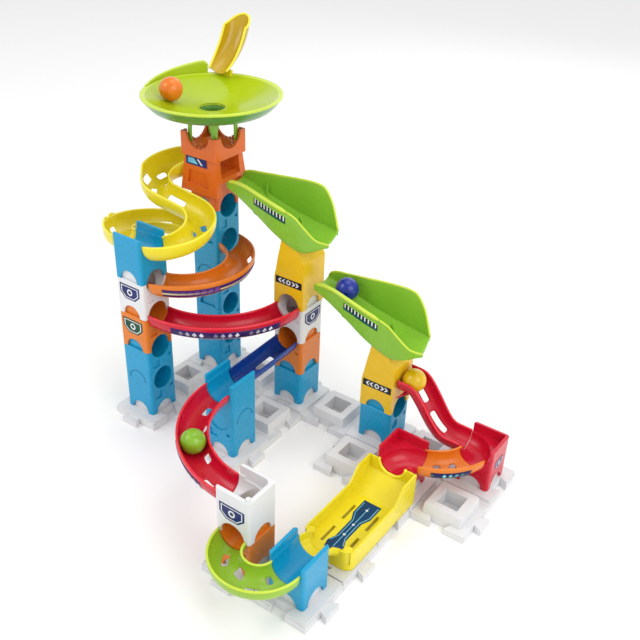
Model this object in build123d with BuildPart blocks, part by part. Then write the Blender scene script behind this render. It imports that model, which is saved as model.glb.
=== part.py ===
"""Marble run: stacking towers on puzzle base plates, joined by slides and curves.

Millimetres, +Z up.  The towers stand on a square grid; a place on it is given in
grid steps along X and Y.  Heights above the base plates are given in levels,
where one level is the height of one tower block.
"""
from math import acos, asin, atan2, cos, degrees, hypot, pi, radians, sin
import os

from build123d import *

# ---------------------------------------------------------------- driving sizes
LEVEL = 40.0            # height of one tower block
TOWER = 37.0            # outside width of a tower block
PITCH = 56.7            # grid step of the base plates
MARBLE_R = 12.0
BORE_R = 13.0           # round ports that marbles pass through
TRACK_R = 13.5          # inside radius of tracks and troughs
TRACK_WALL = 2.0
PLATE = 10.0            # top of a pad, where the towers stand
BOWL_R = 71.6           # rim of the bowl
CHUTE_BACK = 96.1       # back of the entry chute, from the middle of the bowl

WALL = 2.2              # wall of a tower block
CORNER_R = 3.0          # rounded vertical corners of a tower block
CORE = 15.5             # depth of the moulded core under each block top
COLLAR_H = 11.0         # plug on top of a block, which fits in the block above
COLLAR_PLAY = 0.4
PORT_RISE = 1.6         # a port's axis lies this far above the joint it crosses
FOOT_ARCH_R = 11.4
FIT = 0.3               # clearance between parts that only touch
MARBLE_GAP = 0.3

HALF = TOWER / 2
INNER = TOWER - 2 * WALL
COLLAR_W = INNER - 2 * COLLAR_PLAY
TRACK_OUT = TRACK_R + TRACK_WALL
TROUGH_FLOOR = 24.0     # floor of a trough above the foot of its top level
TROUGH_RIM = 48.0
CUP_FLOOR = 22.0        # the cup's floor lies a little lower
TAB = 8.0               # reach of a puzzle tab
SLIDE_R = 12.3          # inside radius of the blue slide
SLIDE_WALL = 1.5
SKIRT_HALF = 24.8       # the director's flared skirt
SLIDE_NEST = 4.0        # how far the blue slide reaches into the bend tower
SLIDE_START_Z = PLATE + 2 * LEVEL + 0.7
SLIDE_END_Z = PLATE + 2 * LEVEL - 2.2

# The whole model is centred in X and Y on the middle of its outline.
X_LOW = -8 - PITCH - TRACK_OUT
X_HIGH = 6.5 * PITCH + TAB
Y_LOW = -2 * PITCH - HALF - FIT - PITCH / 2 - TRACK_OUT
Y_HIGH = 2 * PITCH + CHUTE_BACK
X0 = -(X_LOW + X_HIGH) / 2
Y0 = -(Y_LOW + Y_HIGH) / 2

FACES = {"+x": (1, 0), "-x": (-1, 0), "+y": (0, 1), "-y": (0, -1)}

# Grid places of the towers.
DROP_TOWER = (0, 0)
BOWL_TOWER = (0, 2)
BEND_TOWER = (2, 0)
TIPPER_TOWER_1 = (2, 2)
TIPPER_TOWER_2 = (4, 2)
LANE_CORNER = (5, 1)
SLIDE_CORNER = (6, 2)
CUP_TOWER = (4, -2)
LANE_TROUGH = (5, -2)


def place(cell, dx=0.0, dy=0.0):
    """A point in plan: a grid cell plus an offset in millimetres."""
    return (X0 + cell[0] * PITCH + dx, Y0 + cell[1] * PITCH + dy)


def up(levels):
    """The height of so many levels above the base plates."""
    return PLATE + levels * LEVEL


def face_plane(at, face, z, reach=HALF):
    """The plane of one side of a tower: x to the right, y up, seen from outside."""
    dx, dy = FACES[face]
    origin = (at[0] + dx * reach, at[1] + dy * reach, z)
    return Plane(origin=origin, x_dir=(-dy, dx, 0), z_dir=(dx, dy, 0))


# ---------------------------------------------------------------- tower blocks
def cut_foot_arch(at, face, foot, port):
    """The opening between two legs: a plain arch, or the top half of a port."""
    radius = BORE_R if port else FOOT_ARCH_R
    rise = PORT_RISE if port else 0.0
    with BuildSketch(face_plane(at, face, foot + rise)) as opening:
        Circle(radius)
        with Locations((0, -radius / 2)):
            Rectangle(2 * radius, radius)
    extrude(opening.sketch, amount=-(WALL + 1), mode=Mode.SUBTRACT)


def cut_port(at, face, z):
    """A round port that runs from one side to a round end at the middle."""
    with BuildSketch(face_plane(at, face, z)) as opening:
        Circle(BORE_R)
    extrude(opening.sketch, amount=-HALF, mode=Mode.SUBTRACT)
    with Locations((at[0], at[1], z)):
        Sphere(BORE_R, mode=Mode.SUBTRACT)


def cut_clip_pockets(at, face, z):
    """The two shallow pockets below a port, where other pieces clip on."""
    with BuildSketch(face_plane(at, face, z)) as pockets:
        with Locations((-7.6, -19.6)):
            Rectangle(9.0, 9.0)
        with Locations((12.0, -15.6)):
            Rectangle(4.0, 3.0)
    extrude(pockets.sketch, amount=-1.4, mode=Mode.SUBTRACT)


def cut_level_groove(at, face, z):
    """A shallow arched groove that marks an inner level on a tall block."""
    with BuildSketch(face_plane(at, face, z)) as groove:
        Circle(FOOT_ARCH_R + 0.6)
        Circle(FOOT_ARCH_R - 0.6, mode=Mode.SUBTRACT)
        with Locations((0, -FOOT_ARCH_R)):
            Rectangle(3 * FOOT_ARCH_R, 2 * FOOT_ARCH_R, mode=Mode.SUBTRACT)
    extrude(groove.sketch, amount=-1.0, mode=Mode.SUBTRACT)


def round_shell(at, foot, height):
    """A square post with rounded corners and a softened top edge."""
    with BuildSketch(Plane.XY.offset(foot)) as outline:
        with Locations(at):
            RectangleRounded(TOWER, TOWER, CORNER_R)
    extrude(outline.sketch, amount=height)
    chamfer(faces().sort_by(Axis.Z)[-1].edges(), 0.6)


def hollow(at, low, height, width=INNER):
    """A square hollow inside a block."""
    with BuildSketch(Plane.XY.offset(low)) as outline:
        with Locations(at):
            Rectangle(width, width)
    extrude(outline.sketch, amount=height, mode=Mode.SUBTRACT)


def tower_block(label, cell, floor, levels, ports, foot_ports=(), drain=False):
    """A block of one or more levels, with a collar that plugs into the next one.

    ports gives, for a level, the sides with a port at its top.  drain opens the
    core of the top level downwards, so a marble drops to the block below.
    """
    at = place(cell)
    foot = up(floor)
    top = foot + levels * LEVEL
    with BuildPart() as block:
        round_shell(at, foot, levels * LEVEL)
        hollow(at, foot, LEVEL - CORE)
        for level in range(1, levels):
            hollow(at, foot + level * LEVEL + CORE + 1, LEVEL - 2 * CORE - 1)
        with BuildSketch(Plane.XY.offset(top)):
            with Locations(at):
                RectangleRounded(COLLAR_W, COLLAR_W, 1.5)
        extrude(amount=COLLAR_H)
        for face in FACES:
            cut_foot_arch(at, face, foot, face in foot_ports)
        for level in range(1, levels):
            cut_level_groove(at, "-y", foot + level * LEVEL)
            cut_level_groove(at, "+y", foot + level * LEVEL)
        for level, sides in ports.items():
            axis_z = foot + level * LEVEL + PORT_RISE
            for face in sides:
                cut_clip_pockets(at, face, axis_z)
                cut_port(at, face, axis_z)
        if ports.get(levels):
            with Locations((at[0], at[1], top + PORT_RISE)):
                Cylinder(BORE_R, COLLAR_H, align=(Align.CENTER, Align.CENTER, Align.MIN),
                         mode=Mode.SUBTRACT)
        if drain:
            with Locations((at[0], at[1], top + PORT_RISE)):
                Cylinder(BORE_R, LEVEL, align=(Align.CENTER, Align.CENTER, Align.MAX),
                         mode=Mode.SUBTRACT)
    block.part.label = label
    return block.part


def trough_shell(at, foot, levels, floor):
    """The outside of a trough block, the hollow below its floor, and its legs."""
    base = foot + (levels - 1) * LEVEL
    round_shell(at, foot, (levels - 1) * LEVEL + TROUGH_RIM)
    hollow(at, foot, (levels - 1) * LEVEL + floor - 4)
    for face in FACES:
        cut_foot_arch(at, face, foot, False)
    return base + floor + TRACK_R


def channel_cut(radius=TRACK_R, width_above=2 * TRACK_R + 3):
    """The section of a channel to be cut: a half round with a wider slot above it."""
    Circle(radius)
    with Locations((0, TRACK_R / 2)):
        Rectangle(2 * radius, TRACK_R)
    with Locations((0, 3 + TRACK_R / 2)):
        Rectangle(width_above, TRACK_R)


def trough_block(label, cell, floor, levels, face):
    """A block with a straight channel across its top, along the given side's axis."""
    at = place(cell)
    foot = up(floor)
    with BuildPart() as block:
        axis_z = trough_shell(at, foot, levels, TROUGH_FLOOR)
        with BuildSketch(face_plane(at, face, axis_z, HALF + 1)):
            channel_cut()
        extrude(amount=-(TOWER + 2), mode=Mode.SUBTRACT)
        for level in range(1, levels):
            joint_z = foot + level * LEVEL
            cut_level_groove(at, "+x", joint_z)
            cut_clip_pockets(at, "-y", joint_z + PORT_RISE)
            with BuildSketch(face_plane(at, "-y", joint_z + PORT_RISE)):
                Circle(BORE_R)
            extrude(amount=-1.2, mode=Mode.SUBTRACT)
    block.part.label = label
    return block.part


def bend_block(label, cell):
    """The two-level trough block that takes the end of the blue slide."""
    at = place(cell)
    with BuildPart() as block:
        add(trough_block(label, cell, 0, 2, "-y"))
        with BuildSketch(face_plane(at, "+y", SLIDE_END_Z)):
            channel_cut(SLIDE_R + SLIDE_WALL + 0.4, 2 * TRACK_R + 1)
        extrude(amount=-(SLIDE_NEST + 0.4), mode=Mode.SUBTRACT)
    block.part.label = label
    return block.part


def corner_block(label, cell, side):
    """A low block whose channel turns from one side to the -Y side.

    side is +1 when the channel starts at +X and -1 when it starts at -X.
    """
    at = place(cell)
    with BuildPart() as block:
        axis_z = trough_shell(at, PLATE, 1, TROUGH_FLOOR)
        corner = (at[0] + side * HALF, at[1] - HALF, axis_z)
        with BuildSketch(Plane(origin=corner, x_dir=(0, 1, 0), z_dir=(1, 0, 0))):
            with Locations((HALF, 0)):
                channel_cut(width_above=2 * TRACK_R)
        revolve(axis=Axis(corner, (0, 0, side)), revolution_arc=90, mode=Mode.SUBTRACT)
        with BuildSketch(Plane.XY.offset(axis_z)):
            with Locations((at[0] + side * 3.0, at[1] - 3.0)):
                Rectangle(TOWER, TOWER)
        extrude(amount=LEVEL, mode=Mode.SUBTRACT)
    block.part.label = label
    return block.part


def cup_block(label, cell, floor):
    """A block with a channel in from -X that ends over a drop to the block below."""
    at = place(cell)
    foot = up(floor)
    with BuildPart() as block:
        axis_z = trough_shell(at, foot, 1, CUP_FLOOR)
        cut_foot_arch(at, "-y", foot, True)
        with BuildSketch(face_plane(at, "-x", axis_z, HALF + 1)):
            channel_cut()
        extrude(amount=-(HALF + 1), mode=Mode.SUBTRACT)
        with Locations((at[0], at[1], foot)):
            Cylinder(BORE_R, LEVEL, align=(Align.CENTER, Align.CENTER, Align.MIN),
                     mode=Mode.SUBTRACT)
        with BuildSketch(Plane.XY.offset(axis_z)):
            with Locations(at):
                RectangleRounded(2 * TRACK_R + 3, 2 * TRACK_R + 3, 6)
        extrude(amount=LEVEL, mode=Mode.SUBTRACT)
        with Locations((at[0] + HALF - 2.6, at[1] - HALF + 2.6, foot + TROUGH_RIM - 1)):
            Cylinder(2.1, 5.0, align=(Align.CENTER, Align.CENTER, Align.MIN))
    block.part.label = label
    return block.part


# ---------------------------------------------------------------- tracks
def channel_outline(radius, wall, rise_in, rise_out, offset=0.0):
    """The closed section of a U channel; its inner wall is on the -x side."""
    out = radius + wall
    with BuildLine() as outline:
        Polyline((offset - radius, 0), (offset - radius, rise_in),
                 (offset - out, rise_in), (offset - out, 0))
        ThreePointArc((offset - out, 0), (offset, -out), (offset + out, 0))
        Polyline((offset + out, 0), (offset + out, rise_out),
                 (offset + radius, rise_out), (offset + radius, 0))
        ThreePointArc((offset + radius, 0), (offset, -radius), (offset - radius, 0))
    make_face(outline.edges())


def clear_tower(cell, half=HALF):
    """Take away whatever of a track would stand inside a tower."""
    with Locations((*place(cell), 0)):
        Box(2 * (half + FIT), 2 * (half + FIT), 1000, mode=Mode.SUBTRACT)


def curved_track(label, centre, radius, start, sweep, z_start, z_end, rises, slots, towers):
    """A channel on an arc in a plane that leans down from its start to its end.

    start and sweep are in degrees; z_start and z_end are heights of its axis.
    rises are the heights of the inner and outer wall above the axis.
    """
    first = Vector(cos(radians(start)), sin(radians(start)), 0)
    last = Vector(cos(radians(start + sweep)), sin(radians(start + sweep)), 0)
    chord = (last - first) * radius
    lean = (z_end - z_start) / chord.length
    downhill = chord.normalized()
    z_centre = z_start - lean * radius * first.dot(downhill)
    normal = Vector(-lean * downhill.X, -lean * downhill.Y, 1).normalized()
    outward = Vector(first.X, first.Y, lean * first.dot(downhill)).normalized()
    origin = (centre[0], centre[1], z_centre)
    turn = 1 if sweep > 0 else -1
    section = Plane(origin=origin, x_dir=outward, z_dir=outward.cross(normal))
    ring = Plane(origin=origin, x_dir=outward, z_dir=normal)
    with BuildPart() as track:
        with BuildSketch(section):
            channel_outline(TRACK_R, TRACK_WALL, rises[0], rises[1], radius)
        revolve(axis=Axis(origin, normal * turn), revolution_arc=abs(sweep))
        for share, reach, length in slots:
            angle = sweep * share
            x = (radius + reach) * cos(radians(angle))
            y = (radius + reach) * sin(radians(angle))
            with Locations(ring.location * Location((x, y, -TRACK_R), (0, 0, angle))):
                Box(4.0, length, 14.0, mode=Mode.SUBTRACT)
        for cell in towers:
            clear_tower(cell)
    track.part.label = label
    return track.part


def blue_slide(label):
    """The narrow straight slide that nests in the bend tower's channel."""
    start = place(TIPPER_TOWER_1, 0, -HALF - FIT)
    end = place(BEND_TOWER, 0, HALF - SLIDE_NEST)
    run = Vector(0, end[1] - start[1], SLIDE_END_Z - SLIDE_START_Z)
    with BuildPart() as slide:
        with BuildSketch(Plane(origin=(*start, SLIDE_START_Z), x_dir=(-1, 0, 0), z_dir=run)):
            channel_outline(SLIDE_R, SLIDE_WALL, 0.8, 0.8)
        extrude(amount=run.length)
        with Locations((start[0], (start[1] + end[1]) / 2 - 6, SLIDE_START_Z - SLIDE_R)):
            Box(3.6, 26, 9, mode=Mode.SUBTRACT)
    slide.part.label = label
    return slide.part


def track_section(point, heading, rise_left, rise_right):
    """A faceted U section, standing upright across a slide.

    point is on the channel's axis and heading is the plan direction in degrees.
    """
    along = Vector(cos(radians(heading)), sin(radians(heading)), 0)
    right = Vector(along.Y, -along.X, 0)
    facets = 8
    turns = [pi * k / facets for k in range(facets + 1)]
    outside = [(-TRACK_OUT * cos(t), -TRACK_OUT * sin(t)) for t in turns]
    inside = [(TRACK_R * cos(t), -TRACK_R * sin(t)) for t in turns]
    points = [(-TRACK_OUT, rise_left), *outside, (TRACK_OUT, rise_right),
              (TRACK_R, rise_right), *inside, (-TRACK_R, rise_left)]
    with BuildSketch(Plane(origin=point, x_dir=right, z_dir=along * -1)) as section:
        Polygon(*points, align=None)
    return section.sketch


def lofted_slide(label, stations, slots, towers):
    """A slide that bends as it falls: facets between upright sections.

    A slot is cut at a share of the stations, so far to the right of the middle.
    """
    with BuildPart() as slide:
        loft([track_section(*station) for station in stations], ruled=True)
        for share, reach, length in slots:
            point, heading = stations[round(share * (len(stations) - 1))][:2]
            turn = radians(heading)
            spot = (point[0] + reach * sin(turn), point[1] - reach * cos(turn), point[2] - TRACK_R)
            with Locations(Location(spot, (0, 0, heading))):
                Box(length, 4.0, 14.0, mode=Mode.SUBTRACT)
        for cell, half in towers:
            clear_tower(cell, half)
    slide.part.label = label
    return slide.part


def arc_stations(centre, radius, start, sweep, z_start, z_end, count, left, right):
    """Stations along an arc; left and right are wall rises at its start and end."""
    stations = []
    turn = 1 if sweep > 0 else -1
    for k in range(count + 1):
        share = k / count
        angle = start + sweep * share
        x = centre[0] + radius * cos(radians(angle))
        y = centre[1] + radius * sin(radians(angle))
        z = z_start + (z_end - z_start) * share
        rise_left = left[0] + (left[1] - left[0]) * share
        rise_right = right[0] + (right[1] - right[0]) * share
        stations.append(((x, y, z), angle + 90 * turn, rise_left, rise_right))
    return stations


def s_slide_stations():
    """From the director: round to the left, straight across, round to the right."""
    turn_r = PITCH / 2
    first_turn = place((0, 1.5), -HALF, 0)
    second_turn = place((0, 0.5), HALF, 0)
    stations = arc_stations(first_turn, turn_r, 70, 200, up(6.03), up(5.62), 11,
                            (2, 4), (13, 4))
    stations += arc_stations(second_turn, turn_r, 90, -180, up(5.5), up(4.97), 10,
                             (4, 4), (4, 2))
    return stations


def wave_stations():
    """Level, then a smooth fall, then level again into the corner block."""
    start = place(TIPPER_TOWER_2, HALF + 1.6)
    end = place(SLIDE_CORNER, -HALF - FIT)
    high = up(1) + 41.0
    low = PLATE + TROUGH_FLOOR + TRACK_R + 0.5
    flat_start, flat_end = 12.0, 16.0
    count = 14
    stations = []
    for k in range(count + 1):
        x = start[0] + (end[0] - start[0]) * k / count
        share = (x - start[0] - flat_start) / (end[0] - start[0] - flat_start - flat_end)
        share = min(1.0, max(0.0, share))
        z = high + (low - high) * (3 - 2 * share) * share * share
        stations.append(((x, start[1], z), 0, 5.0 - 3.5 * share, 0.5))
    return stations


TRACKS = [
    curved_track("orange_bend", place((0, 1), 8, 0), PITCH, 88, -176, up(4.04), up(4.0),
                 (1, 3), [(0.2, 6, 9), (0.5, 6, 9), (0.8, 6, 9)], [DROP_TOWER, BOWL_TOWER]),
    curved_track("red_bend_1", place((0, 2), HALF, -HALF), 2 * PITCH - HALF, -90, 90,
                 up(3.04), up(3.01), (1, 3), [(0.25, 5, 9), (0.75, 5, 9)],
                 [DROP_TOWER, TIPPER_TOWER_1]),
    curved_track("red_bend_2", place((4, 0), -HALF, -HALF), 2 * PITCH - HALF, 180, 90,
                 PLATE + 77.0, PLATE + 76.0, (1, 3), [(0.2, 5, 9), (0.5, 5, 9), (0.8, 5, 9)],
                 [BEND_TOWER, CUP_TOWER]),
    curved_track("green_bend", place((4.5, -2), 0, -HALF - FIT), PITCH / 2, 180, 180,
                 PLATE + 41.0, PLATE + 38.0, (2, 3), [(0.2, 5, 8), (0.5, 5, 8), (0.8, 5, 8)],
                 [CUP_TOWER, LANE_TROUGH]),
    curved_track("orange_quarter", place((5, 2), 6, -6), PITCH - 6, 0, -90,
                 PLATE + 37.8, PLATE + 37.5, (1, 3), [(0.5, 5, 9)],
                 [SLIDE_CORNER, LANE_CORNER]),
    blue_slide("blue_slide"),
    lofted_slide("yellow_bend",
                 arc_stations(place((0, 1), -8, 0), PITCH, -92, -176, up(4.93), up(4.06), 18,
                              (8, 5), (2, 2)),
                 [(0.15, 5, 9), (0.4, 5, 9), (0.65, 5, 9)], [(DROP_TOWER, HALF), (BOWL_TOWER, HALF)]),
    lofted_slide("s_slide", s_slide_stations(),
                 [(0.2, 4, 8), (0.35, 4, 8), (0.55, 0, 16), (0.8, 4, 8), (0.9, 4, 8)],
                 [(DROP_TOWER, HALF), (BOWL_TOWER, SKIRT_HALF)]),
    lofted_slide("wave_slide", wave_stations(), [(0.45, 0, 14), (0.7, 0, 8)],
                 [(TIPPER_TOWER_2, HALF + 1), (SLIDE_CORNER, HALF)]),
]


# ---------------------------------------------------------------- base plates
def puzzle_shape(at, face, grow):
    """The flared outline of a puzzle tab, or of its notch, on one side of a cell."""
    dx, dy = FACES[face]
    edge = PITCH / 2 - 0.1
    corners = [(-1, -6 - grow), (TAB + grow, -10 - grow), (TAB + grow, 10 + grow), (-1, 6 + grow)]
    points = [(at[0] + dx * (edge + reach) - dy * side, at[1] + dy * (edge + reach) + dx * side)
              for reach, side in corners]
    Polygon(*points, align=None)


def neighbour(cell, face):
    """The cell next to this one on the given side."""
    dx, dy = FACES[face]
    return (cell[0] + dx, cell[1] + dy)


OPPOSITE = {"+x": "-x", "-x": "+x", "+y": "-y", "-y": "+y"}

PLATES = {
    "base_plate_1": [(0, 0), (0, 1)],
    "base_plate_2": [(0, 2), (1, 2)],
    "base_plate_3": [(2, 0), (2, 1)],
    "base_plate_4": [(2, 2), (3, 2)],
    "base_plate_5": [(4, 1), (4, 2)],
    "base_plate_6": [(5, 1), (5, 2)],
    "base_plate_7": [(6, 1), (6, 2)],
    "base_plate_8": [(5, -1), (5, 0)],
    "base_plate_9": [(4, -2), (5, -2)],
}
# Every puzzle tab, as its cell and side; the cell it reaches into has the notch.
TABS = [((0, 0), "-y"), ((0, 1), "+y"), ((1, 2), "+x"), ((2, 0), "+x"), ((2, 1), "+y"),
        ((3, 2), "+x"), ((4, 1), "+x"), ((4, 2), "+x"), ((5, 1), "+x"), ((5, 2), "+x"),
        ((6, 1), "+x"), ((5, 0), "+y"), ((5, -1), "+x"), ((5, -2), "+x"), ((5, -2), "+y"),
        ((4, -2), "-y"), ((5, 2), "+y"), ((2, 2), "+y"), ((0, 2), "+y")]
# Notches on the outer edge, which wait for another plate.
OPEN_NOTCHES = [((0, 0), "+x"), ((2, 1), "+x"), ((6, 2), "+x"), ((5, 0), "+x"), ((6, 1), "-y"),
                ((4, 1), "-y"), ((5, -2), "-y"), ((3, 2), "-y"), ((4, 2), "+y"), ((6, 2), "+y"),
                ((1, 2), "-y"), ((0, 1), "-x"), ((0, 2), "-x"), ((2, 0), "-y"), ((4, -2), "-x"),
                ((4, -2), "+y"), ((5, -1), "-x"), ((2, 0), "-x"), ((4, 1), "-x")]
PAD_CELLS = [DROP_TOWER, BOWL_TOWER, BEND_TOWER, TIPPER_TOWER_1, TIPPER_TOWER_2,
             LANE_CORNER, SLIDE_CORNER, CUP_TOWER, LANE_TROUGH]
SOCKET_CELLS = [(0, 1), (1, 2), (2, 1), (3, 2), (4, 1), (5, 2), (6, 1)]
FLAT_CELLS = [(5, -1), (5, 0)]
DECK = 7.0              # top of a plate outside its pads
SOCKET_TOP = 18.0
SOCKET_IN = 22.0
SOCKET_OUT = 38.0


def base_plate(label, cells):
    """Two grid cells in one moulding, with pads, sockets, tabs and notches."""
    low, high = place(cells[0]), place(cells[1])
    middle = ((low[0] + high[0]) / 2, (low[1] + high[1]) / 2)
    size = (high[0] - low[0] + PITCH - 0.2, high[1] - low[1] + PITCH - 0.2)
    with BuildPart() as plate:
        with BuildSketch():
            with Locations(middle):
                Rectangle(*size)
            for cell, face in TABS:
                if cell in cells:
                    puzzle_shape(place(cell), face, 0.0)
        extrude(amount=DECK)
        for cell in cells:
            if cell in PAD_CELLS + FLAT_CELLS:
                with BuildSketch(Plane.XY.offset(DECK)):
                    with Locations(place(cell)):
                        RectangleRounded(PITCH - 1.4, PITCH - 1.4, 1.5)
                extrude(amount=PLATE - DECK)
            if cell in PAD_CELLS:
                with BuildSketch(Plane.XY.offset(PLATE)):
                    with Locations(place(cell)):
                        RectangleRounded(COLLAR_W, COLLAR_W, 1.5)
                extrude(amount=COLLAR_H - 1, taper=2)
            if cell in SOCKET_CELLS:
                with BuildSketch(Plane.XY.offset(DECK)):
                    with Locations(place(cell)):
                        RectangleRounded(SOCKET_OUT + 3, SOCKET_OUT + 3, 1.5)
                extrude(amount=SOCKET_TOP - DECK, taper=7)
                with BuildSketch(Plane.XY.offset(SOCKET_TOP)):
                    with Locations(place(cell)):
                        Rectangle(SOCKET_IN, SOCKET_IN)
                extrude(amount=-(SOCKET_TOP - 2), mode=Mode.SUBTRACT)
        holes = [tab for tab in TABS if neighbour(*tab) in cells]
        holes += [(neighbour(*notch), OPPOSITE[notch[1]]) for notch in OPEN_NOTCHES
                  if notch[0] in cells]
        with BuildSketch():
            for cell, face in holes:
                puzzle_shape(place(cell), face, 0.25)
        extrude(amount=PLATE + 1, mode=Mode.SUBTRACT)
    plate.part.label = label
    return plate.part


# ---------------------------------------------------------------- bowl and director
DISH_R = 153.8          # the dish is part of a sphere
DISH_SKIN = 2.2
DISH_EDGE_R = 68.6      # where the dish meets its flat rim
DRAIN_Z = up(7.56)      # edge of the hole in the middle of the dish
DISH_CENTRE_Z = DRAIN_Z + (DISH_R ** 2 - BORE_R ** 2) ** 0.5
RIM_Z = DISH_CENTRE_Z - (DISH_R ** 2 - DISH_EDGE_R ** 2) ** 0.5
DIRECTOR_TOP = up(6.4)
CROWN_TOP = up(7.0)
CROWN_HALF = 24.0
CROWN_FLOOR = 10.0      # height of the crown's floor above its foot
SKIRT_Z = up(5.45)
SKIRT_TOP_HALF = 21.0
RAMP_START = 137        # direction, in degrees, where the ramp wall is highest
RAMP_SWEEP = 66
RAMP_RISE = 12.0
CHUTE_X = -34.0         # the entry chute's foot, from the middle of the bowl
CHUTE_Y = 56.0
CHUTE_BEND_R = 67.0     # from the chute's bend centre to its floor
CHUTE_FOOT_TURN = 25    # how far round the bend the foot is, in degrees
CHUTE_TOP_TURN = 84
CHUTE_HALF = 15.5


def dish_z(radius, offset=0.0):
    """Height of the dish at a distance from its middle; offset is inwards."""
    return DISH_CENTRE_Z - ((DISH_R - offset) ** 2 - radius ** 2) ** 0.5


def bowl():
    """The funnel: a wide shallow dish, a ramp wall at the back, and four legs."""
    at = place(BOWL_TOWER)
    axis = Axis((at[0], at[1], 0), (0, 0, 1))
    half_plane = Plane(origin=(at[0], at[1], 0), x_dir=(1, 0, 0), z_dir=(0, -1, 0))
    skirt_in, skirt_out, skirt_z = 58.3, 60.5, DRAIN_Z + 1.6
    with BuildPart() as dish:
        with BuildSketch(half_plane):
            with BuildLine():
                ThreePointArc((BORE_R, dish_z(BORE_R)), (42, dish_z(42)), (DISH_EDGE_R, RIM_Z))
                Polyline((DISH_EDGE_R, RIM_Z), (BOWL_R, RIM_Z), (BOWL_R, RIM_Z - DISH_SKIN),
                         (skirt_out, skirt_z), (skirt_in, skirt_z),
                         (skirt_in, dish_z(skirt_in, -DISH_SKIN)))
                ThreePointArc((skirt_in, dish_z(skirt_in, -DISH_SKIN)),
                              (36, dish_z(36, -DISH_SKIN)), (BORE_R, dish_z(BORE_R, -DISH_SKIN)))
                Line((BORE_R, dish_z(BORE_R, -DISH_SKIN)), (BORE_R, dish_z(BORE_R)))
            make_face()
        revolve(axis=axis, revolution_arc=360)
        ramp_steps = 11
        for k in range(ramp_steps + 1):
            turn = radians(RAMP_START + RAMP_SWEEP * k / ramp_steps)
            rise = RAMP_RISE * (1 - k / ramp_steps) + 0.4
            radial = Plane(origin=(at[0], at[1], RIM_Z), x_dir=(cos(turn), sin(turn), 0),
                           z_dir=(sin(turn), -cos(turn), 0))
            with BuildSketch(radial):
                with Locations((BOWL_R - 1.6, rise / 2 - 0.5)):
                    Rectangle(2.4, rise + 1)
        loft(ruled=True)
        neck_foot = DIRECTOR_TOP + CROWN_FLOOR + FIT
        with BuildSketch(Plane.XY.offset(neck_foot)):
            with Locations(at):
                RectangleRounded(TOWER, TOWER, CORNER_R)
                Rectangle(INNER - 1, INNER - 1, mode=Mode.SUBTRACT)
        extrude(amount=DRAIN_Z - 1 - neck_foot)
        for face in FACES:
            with BuildSketch(face_plane(at, face, up(7.08))):
                Circle(BORE_R)
                with Locations((0, -10)):
                    Rectangle(2 * BORE_R, 20)
            extrude(amount=-4, mode=Mode.SUBTRACT)
    dish.part.label = "bowl"
    return dish.part


def entry_chute():
    """The upright scoop at the back of the bowl, where a marble is let go."""
    at = place(BOWL_TOWER, CHUTE_X, CHUTE_Y)
    foot_turn = radians(CHUTE_FOOT_TURN)
    outward = Vector(0, sin(foot_turn), -cos(foot_turn))
    foot_z = up(8.05)
    bend = Vector(at[0], at[1], foot_z) - outward * CHUTE_BEND_R
    section = Plane(origin=bend, x_dir=(1, 0, 0), z_dir=Vector(1, 0, 0).cross(outward * -1))
    with BuildPart() as chute:
        with BuildSketch(section):
            with Locations((0, -(CHUTE_BEND_R - TRACK_R))):
                Circle(TRACK_OUT)
                Circle(TRACK_R, mode=Mode.SUBTRACT)
            with Locations((0, -CHUTE_BEND_R + 5.25)):
                Rectangle(2 * CHUTE_HALF, 16.5, mode=Mode.INTERSECT)
        revolve(axis=Axis(bend, (1, 0, 0)), revolution_arc=CHUTE_TOP_TURN - CHUTE_FOOT_TURN)
        top = bend.Z - CHUTE_BEND_R * cos(radians(CHUTE_TOP_TURN))
        with BuildSketch(Plane(origin=(at[0], at[1], top), x_dir=(1, 0, 0), z_dir=(0, -1, 0))):
            with Locations((0, -2)):
                Rectangle(4 * CHUTE_HALF, 2 * CHUTE_HALF)
            with Locations((0, -CHUTE_HALF - 2)):
                Circle(CHUTE_HALF, mode=Mode.SUBTRACT)
            with Locations((0, -2 * CHUTE_HALF - 2)):
                Rectangle(4 * CHUTE_HALF, 2 * CHUTE_HALF, mode=Mode.SUBTRACT)
        extrude(amount=-60, mode=Mode.SUBTRACT)
    chute.part.label = "entry_chute"
    return chute.part


def crown():
    """The square cradle under the bowl, with a funnel down to the director."""
    at = place(BOWL_TOWER)
    floor_z = DIRECTOR_TOP + CROWN_FLOOR
    with BuildPart() as ring:
        with BuildSketch(Plane.XY.offset(DIRECTOR_TOP)):
            with Locations(at):
                RectangleRounded(2 * CROWN_HALF, 2 * CROWN_HALF, 2)
        extrude(amount=CROWN_TOP - DIRECTOR_TOP)
        hollow(at, floor_z, LEVEL, 2 * CROWN_HALF - 5)
        with Locations((at[0], at[1], DIRECTOR_TOP)):
            Cylinder(BORE_R, LEVEL, mode=Mode.SUBTRACT)
        with Locations((at[0], at[1], floor_z - 5)):
            Cone(BORE_R, 18.5, 5, align=(Align.CENTER, Align.CENTER, Align.MIN),
                 mode=Mode.SUBTRACT)
        for face in FACES:
            with BuildSketch(face_plane(at, face, CROWN_TOP + 1, CROWN_HALF)):
                Circle(15.5)
            extrude(amount=-6, mode=Mode.SUBTRACT)
    ring.part.label = "crown"
    return ring.part


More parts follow.
